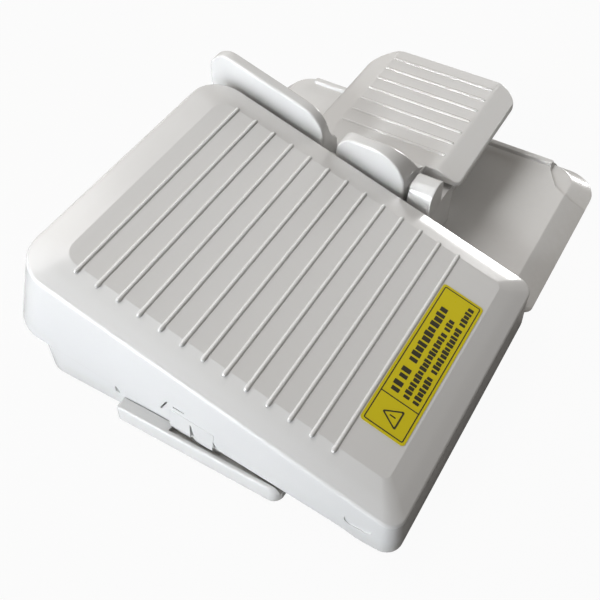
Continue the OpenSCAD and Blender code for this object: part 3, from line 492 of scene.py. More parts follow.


# %% [markdown]
# Solids are then added to and cut from each other with the Boolean modifier, as a
# mould's halves and cores are. Its result is applied at once, so that each piece is
# plain mesh. `soften` rounds the sharp edges that a cut leaves, and `shade` makes broad
# flat faces stay flat by giving the larger face the say at each corner.

# %% Joining, cutting, softening and shading
def settle(piece):
    bpy.context.view_layer.update()
    shown = piece.evaluated_get(bpy.context.evaluated_depsgraph_get())
    made = bpy.data.meshes.new_from_object(shown)
    mesh = bmesh.new()
    mesh.from_mesh(made)
    bmesh.ops.remove_doubles(mesh, verts=mesh.verts, dist=2e-6)
    bmesh.ops.dissolve_degenerate(mesh, edges=mesh.edges, dist=2e-6)
    mesh.to_mesh(made)
    mesh.free()
    piece.modifiers.clear()
    piece.data = made
    return piece


def gather(name, pieces):
    """Pieces that don't touch each other, taken together as one object."""
    mesh = bmesh.new()
    for piece in pieces:
        mesh.from_mesh(piece.data)
        bpy.data.objects.remove(piece)
    return piece_from(name, mesh)


def carve(piece, tools, how="DIFFERENCE"):
    for tool in tools:
        cut = piece.modifiers.new("cut", "BOOLEAN")
        cut.operation = how
        cut.object = tool
        cut.solver = "EXACT"
    settle(piece)
    for tool in tools:
        bpy.data.objects.remove(tool)
    return piece


def weld(piece, tools):
    return carve(piece, tools, "UNION")


def soften(piece, width, angle=50, steps=3):
    rounding = piece.modifiers.new("soften", "BEVEL")
    rounding.width = width * MM
    rounding.segments = steps
    rounding.limit_method = "ANGLE"
    rounding.angle_limit = math.radians(angle)
    rounding.use_clamp_overlap = False
    return settle(piece)


def shade(piece, angle=36):
    piece.data.shade_smooth()
    piece.data.set_sharp_from_angle(angle=math.radians(angle))
    weighted = piece.modifiers.new("weighted", "WEIGHTED_NORMAL")
    weighted.keep_sharp = True
    bpy.context.view_layer.update()
    shown = piece.evaluated_get(bpy.context.evaluated_depsgraph_get())
    finished = bpy.data.meshes.new_from_object(shown)
    piece.modifiers.clear()
    piece.data = finished
    return piece


def dress(piece, body, slot, *nodes, material=None):
    """Finish a piece, let it ride on its body and hide the CAD nodes it stands in for."""
    piece.data.materials.clear()
    piece.data.materials.append(material or FINISH[slot])
    if body:
        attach(piece, body)
    if nodes:
        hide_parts(*nodes)
    mesh = bmesh.new()
    mesh.from_mesh(piece.data)
    open_edges = sum(not edge.is_manifold for edge in mesh.edges)
    mesh.free()
    print(f"{piece.name}: {len(piece.data.vertices)} vertices, {open_edges} open edges")
    return piece


# %% [markdown]
# ## The tread cover
# The cover is one big moulding: a sloped flat with a bevel all round, walls that drop to
# a sloping rim, and a wall thickness of its own. Everything above the walls is drawn in
# the tread's sloped frame, from the heel edge up. A loft from the middle of the flat,
# down over the bevel, round the rim and back up inside gives the whole shell at once,
# with true fillets wherever two faces meet.

# %% Sizes of the tread
PEDAL_X, PEDAL_W, PEDAL_LEN = 4.0, 174.0, 225.0
PEDAL_RIGHT = PEDAL_X + PEDAL_W
HEEL_Y, HEEL_H = 1.3, 27.5
SLOPE = math.radians(17.5)
BEVEL_W, BEVEL_DROP, EDGE_ROUND = 17.5, 5.0, 3.0
COVER_WALL = 2.6
TOE_FLARE = math.radians(22)
TREAD_Y = HEEL_Y - BEVEL_DROP * math.sin(SLOPE)
TREAD_Z = HEEL_H + BEVEL_DROP * math.cos(SLOPE)
TOE_Y = HEEL_Y + PEDAL_LEN * math.cos(SLOPE)
TOE_Z = HEEL_H + PEDAL_LEN * math.sin(SLOPE)


def on_tread(x, up, out):
    """A bench point from one in the tread's frame: across, up the slope, out of the flat."""
    return (PEDAL_X + x, TREAD_Y + up * math.cos(SLOPE) - out * math.sin(SLOPE),
            TREAD_Z + up * math.sin(SLOPE) + out * math.cos(SLOPE))


RIM_START_Y, RIM_START_Z, HEEL_CLEAR = 30.0, 5.0, 1.6
RIM_SLOPE = math.tan(math.radians(9.1))


def straight_rim(y):
    if y > RIM_START_Y:
        return RIM_START_Z + (y - RIM_START_Y) * RIM_SLOPE
    step = (RIM_START_Z - HEEL_CLEAR) / 7
    return max(HEEL_CLEAR, RIM_START_Z - (RIM_START_Y - y) * step)


def rim(y):
    """The cover's bottom rim, with its two corners rounded by averaging."""
    return sum(straight_rim(y + k * 0.8) for k in range(-4, 5)) / 9


print("tread: toe edge at", round(TOE_Y, 1), round(TOE_Z, 1), "rim there", round(rim(TOE_Y), 1))

# %% Rings of the cover
ACROSS, UP = 26, 34
HEEL_CORNER_R, TOE_CORNER_R, FOOT_TOE_R = 9, 20, 26
FLAT_HEEL_R, FLAT_TOE_R = 4, 9


def frame_ring(x0, y0, x1, y1, radii, steps=9):
    """A rounded rectangle with evenly spread points on its straights: (x, y) pairs."""
    corners = [(x0, y0, 180), (x1, y0, 270), (x1, y1, 0), (x0, y1, 90)]
    points = []
    for (x, y, turn), radius, count in zip(corners, radii, (ACROSS, UP, ACROSS, UP)):
        centre = (x + radius if turn in (180, 90) else x - radius, y + radius
                  if turn > 90 else y - radius)
        arc = [(centre[0] + radius * math.cos(math.radians(turn + 90 * k / steps)),
                centre[1] + radius * math.sin(math.radians(turn + 90 * k / steps)))
               for k in range(steps + 1)]
        points.append((arc, count))
    ring = []
    for (arc, count), (following, _) in zip(points, points[1:] + points[:1]):
        ring += arc
        ring += [(along(arc[-1][0], following[0][0], k / count),
                  along(arc[-1][1], following[0][1], k / count))
                 for k in range(1, count)]
    return ring


def tread_ring(across, out, thickness=0.0):
    """The tread's outline moved in by across, at a height out of its flat."""
    share = min(1, max(0, across - thickness) / BEVEL_W)
    heel = along(HEEL_CORNER_R - thickness, FLAT_HEEL_R, share)
    toe = along(TOE_CORNER_R - thickness, FLAT_TOE_R, share)
    flat = frame_ring(across, across, PEDAL_W - across, PEDAL_LEN - across, [heel, heel, toe, toe])
    return [on_tread(x, y, out) for x, y in flat]


def wall_lines(thickness):
    """Straight lines down the walls: from the edge of the bevel to the ground."""
    tops = tread_ring(thickness, -BEVEL_DROP - EDGE_ROUND, thickness)
    wall_y = TOE_Y + EDGE_ROUND * math.sin(SLOPE)
    wall_z = TOE_Z - EDGE_ROUND * math.cos(SLOPE)
    ground = -1.0
    toe = wall_y + (wall_z - ground) * math.tan(TOE_FLARE) - thickness / math.cos(TOE_FLARE)
    feet = frame_ring(PEDAL_X + thickness, HEEL_Y + thickness, PEDAL_RIGHT - thickness, toe,
                      [r - thickness for r in (HEEL_CORNER_R, HEEL_CORNER_R, FOOT_TOE_R, FOOT_TOE_R)])
    return list(zip(tops, [(x, y, ground) for x, y in feet]))


def at_rim(lines, above, share=1.0):
    """Where each wall line comes within a height of the rim, or a share of the way there."""
    ring = []
    for top, foot in lines:
        low, high = 0.0, 1.0
        for _ in range(30):
            t = (low + high) / 2
            y, z = along(top[1], foot[1], t), along(top[2], foot[2], t)
            low, high = (t, high) if z > rim(y) + above else (low, t)
        ring.append(tuple(along(a, b, low * share) for a, b in zip(top, foot)))
    return ring


# %% [markdown]
# The profile of the bevel is a short list of (how far in, how deep) stations. Fillets are
# arcs between two straight runs, so a helper rounds the profile like any other outline.

# %% The bevel's profile
def open_profile(corners, steps=5):
    """Stations through (across, out, radius) corners; the ends stay as they are."""
    made = [Vector(corners[0][:2])]
    for before, (a, b, radius), after in zip(corners, corners[1:], corners[2:]):
        at = Vector((a, b))
        u, v = (Vector(before[:2]) - at).normalized(), (Vector(after[:2]) - at).normalized()
        half = u.angle(v) / 2
        centre = at + (u + v).normalized() * radius / math.sin(half)
        start, end = at + u * radius / math.tan(half) - centre, at + v * radius / math.tan(half) - centre
        made += [centre + start.lerp(end, k / steps).normalized() * radius for k in range(steps + 1)]
    return made + [Vector(corners[-1][:2])]


BULGE = 0.28
OUTER = open_profile([(BEVEL_W + 6, 0, 0), (BEVEL_W, 0, 3), (BEVEL_W / 2, -BEVEL_DROP / 2 + BULGE, 70),
                      (0, -BEVEL_DROP, 2.2), (0, -BEVEL_DROP - EDGE_ROUND, 0)])


def cover_shell():
    walls, inside = wall_lines(0), wall_lines(COVER_WALL)
    rings = [tread_ring(p.x, p.y) for p in OUTER[:-1]]
    rings += [at_rim(walls, 1.0, share) for share in (0.0, 0.33, 0.66, 1.0)]
    lip = 0.5
    rings.append(at_rim(wall_lines(lip * 0.15), lip * 0.4))
    rings.append(at_rim(wall_lines(lip), 0.0))
    rings.append(at_rim(wall_lines(COVER_WALL - lip), 0.0))
    rings.append(at_rim(inside, lip))
    rings += [at_rim(inside, 1.0, share) for share in (0.66, 0.33, 0.0)]
    for across, out in ((COVER_WALL, -BEVEL_DROP), (BEVEL_W, 0)):
        rings.append(tread_ring(across, out - COVER_WALL, COVER_WALL))
    return loft("tread_cover", rings)


# %% [markdown]
# ### The ribs
# Thirteen low half-round ribs give the shoe its grip. Each is a small loft of its own,
# rounded off at both ends like a grain of rice, and then welded to the flat.

# %% Ribs
RIB_COUNT, RIB_PITCH, RIB_RISE, RIB_HALF = 13, 12.5, 0.8, 1.25
FIRST_RIB = PEDAL_LEN - 28.75
RIB_X = 13.5
RIB_SECTION = [(-1.0, -0.5), (-0.94, 0.12), (-0.7, 0.6), (-0.38, 0.9), (0, 1.0),
               (0.38, 0.9), (0.7, 0.6), (0.94, 0.12), (1.0, -0.5)]


def rib(name, start, end, place):
    """A rib from start to end along its line; place turns (along, across, out) into bench."""
    rings = []
    reach = 1.6
    stations = [(start + reach * (1 - math.cos(t)), math.sin(t)) for t in (0.25, 0.6, 1.0, 1.57)]
    stations += [(end - reach * (1 - math.cos(t)), math.sin(t)) for t in (1.57, 1.0, 0.6, 0.25)]
    for run, size in stations:
        rings.append([place(run, RIB_HALF * a * size, RIB_RISE * (b * size if b > 0 else b)) for a,
                      b in RIB_SECTION])
    return loft(name, rings)


def tread_ribs():
    return [rib("rib", RIB_X, PEDAL_W - RIB_X - 2.5,
                lambda run, across, out, up=FIRST_RIB - i * RIB_PITCH: on_tread(run, up + across, out))
            for i in range(RIB_COUNT)]


# %% [markdown]
# ### The hooks
# The cover is held down against its springs by two hooks in its left wall, made by slits
# that let them flex. They stand a little proud of the wall and hang below the rim.

# %% Hooks and slits of the left wall
HOOK_TOE, HOOK_W, HOOK_LOW, HOOK_RISE, HOOK_PROUD, HOOK_SLIT = 131.4, 26.5, 4.0, 13.0, 0.3, 117.6
BARB_TOP = RIM_START_Z + (HOOK_TOE - RIM_START_Y) * RIM_SLOPE + 6.8


def hook_pad():
    slant = math.atan(RIM_SLOPE)
    middle = RIM_START_Z + (HOOK_TOE - RIM_START_Y) * RIM_SLOPE
    corners = [(-HOOK_W, -HOOK_LOW, 1.2), (0, -HOOK_LOW, 1.2), (0, HOOK_RISE, 1.0),
               (-HOOK_W, HOOK_RISE, 1.0)]
    turned = [(HOOK_TOE + a * math.cos(slant) - b * math.sin(slant), middle + a * math.sin(slant)
               + b * math.cos(slant), radius) for a, b, radius in corners]
    return prism("hook_pad", outline(turned, 4), "x", PEDAL_X - HOOK_PROUD, PEDAL_X + COVER_WALL - 0.1,
                 0.25, 2)


def barbs():
    inside = PEDAL_X + COVER_WALL
    shape = [(inside - 0.5, BARB_TOP - 4.5, 0), (inside + 3.2, BARB_TOP - 1, 0.3),
             (inside + 3.2, BARB_TOP, 0.3),
             (inside - 0.5, BARB_TOP, 0)]
    return [prism("barb", outline(shape, 3), "y", y, y + 8, 0.3, 2)
            for y in (HOOK_SLIT + 4, HOOK_SLIT - 12)]


def hook_slits():
    shapes = [
        [(HOOK_SLIT - 2, 10), (HOOK_SLIT + 2, 10), (HOOK_SLIT + 0.3, BARB_TOP + 0.5),
         (HOOK_SLIT - 0.3, BARB_TOP + 0.5)],
        [(HOOK_SLIT - 18, 10), (HOOK_SLIT - 13, 10), (HOOK_SLIT - 13, BARB_TOP - 5)],
        [(HOOK_SLIT + 3, BARB_TOP + 8), (HOOK_SLIT + 9.5, BARB_TOP + 9), (HOOK_SLIT + 9.5, BARB_TOP + 10),
         (HOOK_SLIT + 3, BARB_TOP + 9)],
        [(HOOK_SLIT + 17.5, BARB_TOP + 2), (HOOK_SLIT + 18.5, BARB_TOP + 2.3),
         (HOOK_SLIT + 13.5, BARB_TOP + 11.5),
         (HOOK_SLIT + 12.7, BARB_TOP + 11)]]
    return [prism("slit", [Vector(p) for p in shape], "x", PEDAL_X - 1, PEDAL_X + COVER_WALL + 0.5, 0)
            for shape in shapes]


TREAD_AXLE_Y, TREAD_AXLE_Z = 22, 17
MARK_REACH, MARK_RISE = 7.5, 4


def axle_marks():
    """Shallow ovals in the walls where the axle's ends lie behind them."""
    plan = rectangle(TREAD_AXLE_Y - MARK_REACH, TREAD_AXLE_Z - MARK_RISE,
                     TREAD_AXLE_Y + MARK_REACH, TREAD_AXLE_Z + MARK_RISE, 3.99, 8)
    return [prism("mark", plan, "x", x - 0.7, x + 0.7, 0.5, 3) for x in (PEDAL_X, PEDAL_RIGHT)]


# %% Make the tread cover
cover = cover_shell()
weld(cover, tread_ribs() + [hook_pad()] + barbs())
carve(cover, hook_slits() + axle_marks())
shade(cover, 34)
dress(cover, "tread", "shell_plastic", "main_pedal_cover")


# %% [markdown]
# ## The label
# A yellow film is stuck to the flat by the heel. Its print is only a frame, a divider, a
# plain triangle and rows of bars where the words would be. Each mark is a thin raised
# layer of ink, as screen printing leaves it, so its edges stay sharp at any distance.

# %% Label
LABEL_W, LABEL_H, LABEL_T = 98.0, 25.5, 0.25
LABEL_X = PEDAL_W / 2 - 1 - LABEL_W / 2
LABEL_Y = FIRST_RIB - (RIB_COUNT - 1) * RIB_PITCH - 1.6 - LABEL_H
INK_T, INK_LINE = 0.04, 0.62


def on_label(points, low, high):
    return [[on_tread(LABEL_X + p.x, LABEL_Y + p.y, out) for p in points] for out in (low, high)]


film = loft("label_film", on_label(rectangle(0, 0, LABEL_W, LABEL_H, 2), -0.05, LABEL_T))
shade(film)
dress(film, "tread", "label_film", "warning_label")


def ink(points):
    return loft("ink", on_label(points, LABEL_T - 0.02, LABEL_T + INK_T))


def ink_ring(outer, *windows):
    cutters = [loft("window", on_label(window, LABEL_T - 0.1, LABEL_T + 1)) for window in windows]
    return carve(ink(outer), cutters)


def ink_bar(x0, y0, x1, y1):
    return ink(rectangle(x0, y0, x1, y1, min(0.25, (y1 - y0) / 3), 2))


def triangle(x, y, size, radius):
    """A triangle with its tip up the label, about a middle point."""
    return outline([(x - size, y - size * 0.62, radius), (x + size, y - size * 0.62, radius),
                    (x, y + size * 1.1, radius)], 4)


CELL_X, MARGIN = 20.0, 1.4
OUT_X, OUT_Y, LINE = LABEL_W - MARGIN, LABEL_H - MARGIN, INK_LINE
marks = [ink_ring(rectangle(MARGIN, MARGIN, OUT_X, OUT_Y, 1.0),
                  rectangle(MARGIN + LINE, MARGIN + LINE, CELL_X - LINE / 2, OUT_Y - LINE, 0.4),
                  rectangle(CELL_X + LINE / 2, MARGIN + LINE, OUT_X - LINE, OUT_Y - LINE, 0.4))]
warn_x, warn_y = (MARGIN + CELL_X) / 2, LABEL_H / 2 - 1.2
marks.append(ink_ring(triangle(warn_x, warn_y, 6.2, 0.8), triangle(warn_x, warn_y, 4.7, 0.4)))
marks.append(ink_bar(warn_x - 0.4, warn_y - 1.3, warn_x + 0.4, warn_y + 2.2))
# Bars in place of words: a bold heading row, then two fine rows. Each bar is split into
# strokes of uneven width, so that a row reads as print and not as a line.
ROWS = [(15.6, 5.2, 3.7, [(0, 2), (9, 2), (20.5, 11)]),
        (9.4, 3.9, 2.75, [(0, 17), (48.5, 3)]),
        (3.9, 3.9, 2.75, [(0, 7), (21.5, 12), (56.5, 5)])]
for row_y, height, step, words in ROWS:
    for start, strokes in words:
        for k in range(strokes):
            x = CELL_X + 3.4 + start + k * step
            wide = step * (0.8 if k % 3 else 0.66)
            low = row_y + (0.35 if k % 4 == 2 else 0)
            marks.append(ink_bar(x, low, x + wide, row_y + height * (1 if k % 2 else 0.88)))
print_layer = gather("label_print", marks)
shade(print_layer)
dress(print_layer, "tread", "label_film", material=PRINT)

# %% [markdown]
# ## The side pedal
# The small pedal is a plate that tips about a barrel along its left edge. Its top is flat
# with a bevel at the toe and the heel, so it starts as an arch-shaped bar, and its plan
# outline, with the notches round the two bearings, is cut out of that bar like a biscuit.

# %% Sizes of the side pedal
SIDE_X, SIDE_W, SIDE_H, SIDE_Y, SIDE_D = 182.5, 126.5, 54.0, 66.0, 103.0
SIDE_RIGHT, SIDE_TOE = SIDE_X + SIDE_W, SIDE_Y + SIDE_D
AXLE_X, AXLE_Z, BARREL_R, SIDE_AXLE_R = SIDE_X + 9, SIDE_H - 1.5, 9.0, 2.5
GUARD_Y, GUARD_TOE, GUARD_H, GUARD_T = 89.5, 134.8, 78.3, 7.5
TOWER_Y, TOWER_TOE, CLIP_ROOM = 143.0, 152.0, 2.5
SIDE_WALL, SIDE_BEVEL, SIDE_DROP = 3.0, 15.0, 5.5
SIDE_MID_Y = (79.5 + 160) / 2
PLATE_X = AXLE_X + 1.3


def arch(name, wall, low):
    corners = [(SIDE_Y + wall, low, 0), (SIDE_TOE - wall, low, 0),
               (SIDE_TOE - wall, SIDE_H - SIDE_DROP - wall * 0.7, 1.5),
               (SIDE_TOE - SIDE_BEVEL, SIDE_H - wall, 9),
               (SIDE_Y + SIDE_BEVEL, SIDE_H - wall, 9),
               (SIDE_Y + wall, SIDE_H - SIDE_DROP - wall * 0.7, 1.5)]
    return prism(name, outline(corners, 5), "x", SIDE_X, SIDE_RIGHT + 5, 0)


def side_plate():
    notch_x, heel_notch = SIDE_X + 28.5, GUARD_Y - 1
    toe_notch, toe_notch_x = TOWER_TOE + CLIP_ROOM + 0.3, SIDE_X + 2 * BARREL_R + 1.2
    plan = [(notch_x, SIDE_Y, 4), (SIDE_RIGHT, SIDE_Y, 15), (SIDE_RIGHT, SIDE_TOE, 20),
            (PLATE_X, SIDE_TOE, 2),
            (PLATE_X, toe_notch, 1), (toe_notch_x, toe_notch, 1), (toe_notch_x, GUARD_TOE - 0.6, 0),
            (PLATE_X, GUARD_TOE - 0.6, 0),
            (PLATE_X, heel_notch, 0), (notch_x, heel_notch, 1)]
    plate = arch("side_tread", 0, SIDE_H - 8)
    carve(plate, [prism("plan", outline(plan, 9), "z", SIDE_H - 12, SIDE_H + 5, 0)], "INTERSECT")
    inner = [(notch_x + 3, SIDE_Y + 3, 2), (SIDE_RIGHT - 3, SIDE_Y + 3, 12),
             (SIDE_RIGHT - 3, SIDE_TOE - 3, 17),
             (SIDE_X + 24, SIDE_TOE - 3, 2), (SIDE_X + 24, heel_notch + 3, 2),
             (notch_x + 3, heel_notch + 3, 1)]
    hollow = arch("hollow", SIDE_WALL, SIDE_H - 20)
    carve(hollow, [prism("plan", outline(inner, 9), "z", SIDE_H - 25, SIDE_H + 5, 0)], "INTERSECT")
    carve(plate, [hollow])
    return soften(plate, 0.8, 48)


# %% [markdown]
# The guard is a raised hand of plastic that keeps a foot on the pedal. Cut level, every
# slice of it is a rounded rectangle: long and thin near its top, and wider below, where
# it sweeps out into the plate. So it is a loft of level slices, with the D of its side
# view giving each slice its length and a hollow curve giving its width.

# %% Guard
def reach_of(level, top, radius):
    """How far a rounded top corner has come in, at a level."""
    rise = level - (top - radius)
    return radius - math.sqrt(max(0.0, radius * radius - rise * rise)) if rise > 0 else 0.0


def hollow_curve(level, corners):
    """Width at a level along a rounded (width, level) line."""
    line = open_profile(corners, 8)
    for low_point, high_point in zip(line, line[1:]):
        if min(low_point.y, high_point.y) <= level <= max(low_point.y, high_point.y):
            share = (level - low_point.y) / ((high_point.y - low_point.y) or 1)
            return along(low_point.x, high_point.x, share)
    return line[0].x if abs(level - line[0].y) < abs(level - line[-1].y) else line[-1].x


def side_guard():
    sweep = [(SIDE_X + 29, SIDE_H - 0.8, 0), (SIDE_X + 20.5, SIDE_H + 4, 14), (SIDE_X + 8.3, GUARD_H, 0)]
    edge = 1.5
    levels = [SIDE_H - 8, SIDE_H - 3.5, SIDE_H - 0.8] + [along(SIDE_H - 0.4, GUARD_H - 6, k / 14)
                                                         for k in range(15)]
    levels += [GUARD_H - 6 + 6 * math.sin(math.pi / 2 * k / 9) for k in range(1, 10)]
    rings = []
    for level in levels:
        right = SIDE_X + 19 if level < SIDE_H - 1 else hollow_curve(level, sweep)
        turn = reach_of(level, GUARD_H, edge)
        heel, toe = GUARD_Y + reach_of(level, GUARD_H, 22), GUARD_TOE - reach_of(level, GUARD_H, 12)
        rings.append([(p.x, p.y, level)
                      for p in rectangle(SIDE_X + turn, heel, right - turn, toe, 1.4, 4)])
    return loft("guard", rings)


SIDE_RIBS, SIDE_PITCH = 7, 12.2


def side_ribs():
    return [rib("rib", SIDE_Y + 16, SIDE_TOE - 15.5,
                lambda run, across, out,
                x=SIDE_RIGHT - 10.5 - i * SIDE_PITCH: (x + across, run, SIDE_H + out))
            for i in range(SIDE_RIBS)]


def rod_y(name, x, z, radius, y0, y1, edge=0.4, count=48):
    return prism(name, circle(x, z, radius, count), "y", y0, y1, edge, 2)


def rod_z(name, x, y, radius, z0, z1, edge=0.3, count=32):
    return prism(name, circle(x, y, radius, count), "z", z0, z1, edge, 2)


# %% Make the side pedal
SPRING_X, SPRING_R, SPRING_LOW, BUMPER_X, BUMPER_R = SIDE_X + 77, 6.5, 26.0, SIDE_X + 98, 5.0
side_tread = side_plate()
weld(side_tread,
     [side_guard(),
      rod_y("barrel", AXLE_X, AXLE_Z, BARREL_R - 0.05, GUARD_Y + 0.2, GUARD_TOE - 0.2,
            0.6)] + side_ribs())
weld(side_tread, [rod_z("seat", SPRING_X, SIDE_MID_Y, SPRING_R + 2.5, SIDE_H - 7, SIDE_H - 2),
                  rod_z("stop", BUMPER_X, SIDE_MID_Y, BUMPER_R + 2,
                        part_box("side_bumper")[1].z / MM + 16.1, SIDE_H - 2),
                  rod_z("finger", SIDE_X + 29.5, SIDE_MID_Y, 2.5, 38.3, SIDE_H - 2)])
carve(side_tread, [rod_y("bore", AXLE_X, AXLE_Z, SIDE_AXLE_R + 0.05, GUARD_Y - 1, GUARD_TOE + 1, 0),
                   rod_z("cup", SPRING_X, SIDE_MID_Y, SPRING_R + 1, SIDE_H - 20, SIDE_H - 5, 0)])
shade(side_tread)
dress(side_tread, "side_tread", "shell_plastic", "side_pedal")

# %% [markdown]
# ## The side pedal's housing
# The housing under the plate is a low box with a roof that falls away to the right. The
# tall fixed guard grows out of its left wall: seen from the side it is a D whose top runs
# parallel to the tread, so it is lofted from upright slices instead of level ones.

# %% Housing
TRAY_H, EAR_Y, EAR_TOE, HOUSING_Y, HOUSING_TOE = 9.5, 72.0, 87.0, 79.5, 160.0
HOUSING_RIGHT, HOUSING_HIGH, HOUSING_LOW, BASE_WALL = SIDE_RIGHT - 13, SIDE_H - 12, SIDE_H - 22, 2.5
FIXED_TOE, FIXED_H = 221.0, 109.7


def housing_box(name, wall, low):
    t = wall
    profile = [(SIDE_X, low, 0), (HOUSING_RIGHT, low, 0), (HOUSING_RIGHT, HOUSING_LOW - t, 0),
               (SIDE_X + 26, HOUSING_HIGH - t, 20), (SIDE_X, HOUSING_HIGH - t, 0)]
    plan = [(SIDE_X + t, EAR_Y + t, 1), (SIDE_X + 37 - t, EAR_Y + t, 4),
            (SIDE_X + 50.5, HOUSING_Y + t, 6),
            (HOUSING_RIGHT - t, HOUSING_Y + t, 6), (HOUSING_RIGHT - t, HOUSING_TOE - t, 6),
            (SIDE_X + t, HOUSING_TOE - t, 1)]
    made = prism(name, outline(profile, 6), "y", EAR_Y - 5, HOUSING_TOE + 5, 0)
    return carve(made, [prism("plan", outline(plan, 7), "z", low - 1, HOUSING_HIGH + 2, 0)], "INTERSECT")


def fixed_guard():
    top_at_heel = FIXED_H - (FIXED_TOE - TOWER_Y) * math.tan(SLOPE)
    side_view = outline([(TOWER_Y, TRAY_H, 0), (FIXED_TOE, TRAY_H, 0), (FIXED_TOE, FIXED_H, 12),
                         (TOWER_Y, top_at_heel, 20)], 12)
    upper = sorted((p for p in side_view if p.y > TRAY_H + 1), key=lambda p: p.x)

    def top_at(y):
        for a, b in zip(upper, upper[1:]):
            if a.x <= y <= b.x and b.x > a.x:
                return along(a.y, b.y, (y - a.x) / (b.x - a.x))
        return upper[0].y if y < upper[0].x else upper[-1].y

    run = FIXED_TOE - TOWER_Y
    stations = [TOWER_Y + run * (1 - math.cos(math.pi * k / 44)) / 2 for k in range(1, 44)]
    edge = 1.3
    slices = [(TOWER_Y, edge)] + [(TOWER_Y + edge * (1 - math.cos(t)), edge * (1 - math.sin(t)))
                                  for t in (0.5, 1.0)]
    slices += [(y, 0.0) for y in stations if TOWER_Y + edge < y < FIXED_TOE - edge]
    slices += [(FIXED_TOE - edge * (1 - math.cos(t)), edge * (1 - math.sin(t))) for t in (1.0, 0.5)]
    slices.append((FIXED_TOE, edge))
    tower_top = AXLE_Z + BARREL_R
    rings = []
    for y, shrink in slices:
        top = top_at(y) - shrink
        flare = max(0.0, min(1.0, (TOWER_TOE + 0.5 - y) / 5)) * 10.5
        ring = []
        for k in range(19):
            level = along(TRAY_H + 0.1, top - 1.6, k / 18)
            spread = max(0.0, min(1.0, (tower_top + 15 - level) / 15)) ** 2
            ring.append((SIDE_X + GUARD_T - shrink + flare * spread, y, level))
        right, left = ring[-1][0], SIDE_X + shrink
        ring += [(right - 1.6 * (1 - math.cos(t)), y, top - 1.6 + 1.6 * math.sin(t))
                 for t in (0.4, 0.8, 1.2, 1.57)]
        ring += [(left + 1.6 * (1 - math.sin(t)), y, top - 1.6 + 1.6 * math.cos(t))
                 for t in (0, 0.4, 0.8, 1.2)]
        ring += [(left, y, along(top - 1.6, TRAY_H + 0.1, k / 6)) for k in range(7)]
        rings.append(ring)
    return loft("fixed_guard", rings)


def bearing(y0, y1):
    top = AXLE_Z + BARREL_R - 1.5
    shape = [(SIDE_X + 0.04, HOUSING_HIGH - 4, 0), (SIDE_X + 2 * BARREL_R, HOUSING_HIGH - 4, 0),
             (SIDE_X + 2 * BARREL_R, top, 5.5), (SIDE_X + 0.04, top, 8.5)]
    return prism("bearing", outline(shape, 8), "y", y0, y1, 0.7)


# %% Make the housing
housing = housing_box("side_housing", 0, TRAY_H + 0.05)
weld(housing, [bearing(EAR_Y + 0.04, EAR_TOE), bearing(TOWER_Y + 0.04, TOWER_TOE), fixed_guard()])
carve(housing, [housing_box("hollow", BASE_WALL, TRAY_H - 2)])
FLOOR_TOP = TRAY_H + 2.5
floor_holes = [(SIDE_X + 10, HOUSING_Y + 7), (HOUSING_RIGHT - 8, HOUSING_Y + 8),
               (HOUSING_RIGHT - 8, HOUSING_TOE - 8), (SIDE_X + 10, HOUSING_TOE - 8)]
side_screws = [(SIDE_X + 57, 98), (SIDE_X + 57, 146)]


def roof_at(x):
    return along(HOUSING_HIGH, HOUSING_LOW, max(0.0, x - SIDE_X - 26) / (HOUSING_RIGHT - SIDE_X - 26))


weld(housing,
     [rod_z("cup", SPRING_X, SIDE_MID_Y, SPRING_R + 3, SPRING_LOW - 2, roof_at(SPRING_X + 9) - 0.3),
               rod_z("stop_foot", BUMPER_X, SIDE_MID_Y, BUMPER_R + 2, 29, roof_at(BUMPER_X + 7) - 0.2)]
     + [rod_z("post", x, y, 4.5, FLOOR_TOP + 0.1, roof_at(x + 4) - 1, 0.2) for x, y in side_screws]
     + [rod_z("post", x, y, 3.5, FLOOR_TOP + 0.1, roof_at(x + 4) - 1, 0.2) for x, y in floor_holes])
carve(housing, [rod_z("thread", x, y, 1.6, 0, TRAY_H + 14, 0, 20) for x, y in side_screws]
      + [rod_z("thread", x, y, 1.45, 0, TRAY_H + 12, 0, 20) for x, y in floor_holes])
carve(housing, [rod_y("bore", AXLE_X, AXLE_Z, SIDE_AXLE_R + 0.05, EAR_Y + 3, TOWER_TOE + CLIP_ROOM, 0),
                rod_y("clip_room", AXLE_X, AXLE_Z, SIDE_AXLE_R + 3, TOWER_TOE, TOWER_TOE + CLIP_ROOM, 0),
                rod_z("spring_hole", SPRING_X, SIDE_MID_Y, SPRING_R + 1, SPRING_LOW, SIDE_H, 0),
                rod_z("stop_hole", BUMPER_X, SIDE_MID_Y, BUMPER_R + 0.05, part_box("side_bumper")[0].z / MM,
                      SIDE_H, 0),
                rod_z("sensor_hole", SIDE_X + 29.5, SIDE_MID_Y, 5, 34, SIDE_H, 0),
                rod_y("gland_hole", SIDE_X + 64, TRAY_H + 14, 4, HOUSING_TOE - 5, HOUSING_TOE + 3, 0)])
shade(housing)
dress(housing, "base", "shell_plastic", "side_base")


# %% [markdown]
# ## The mounting plate
# The plate is a shallow tray under the side pedal, a tongue that runs under the tread
# pedal, and a ledge at the tongue's far end. The tray's edge slopes from the ground up to
# its floor, so it is one loft from the ground outline to the floor outline.

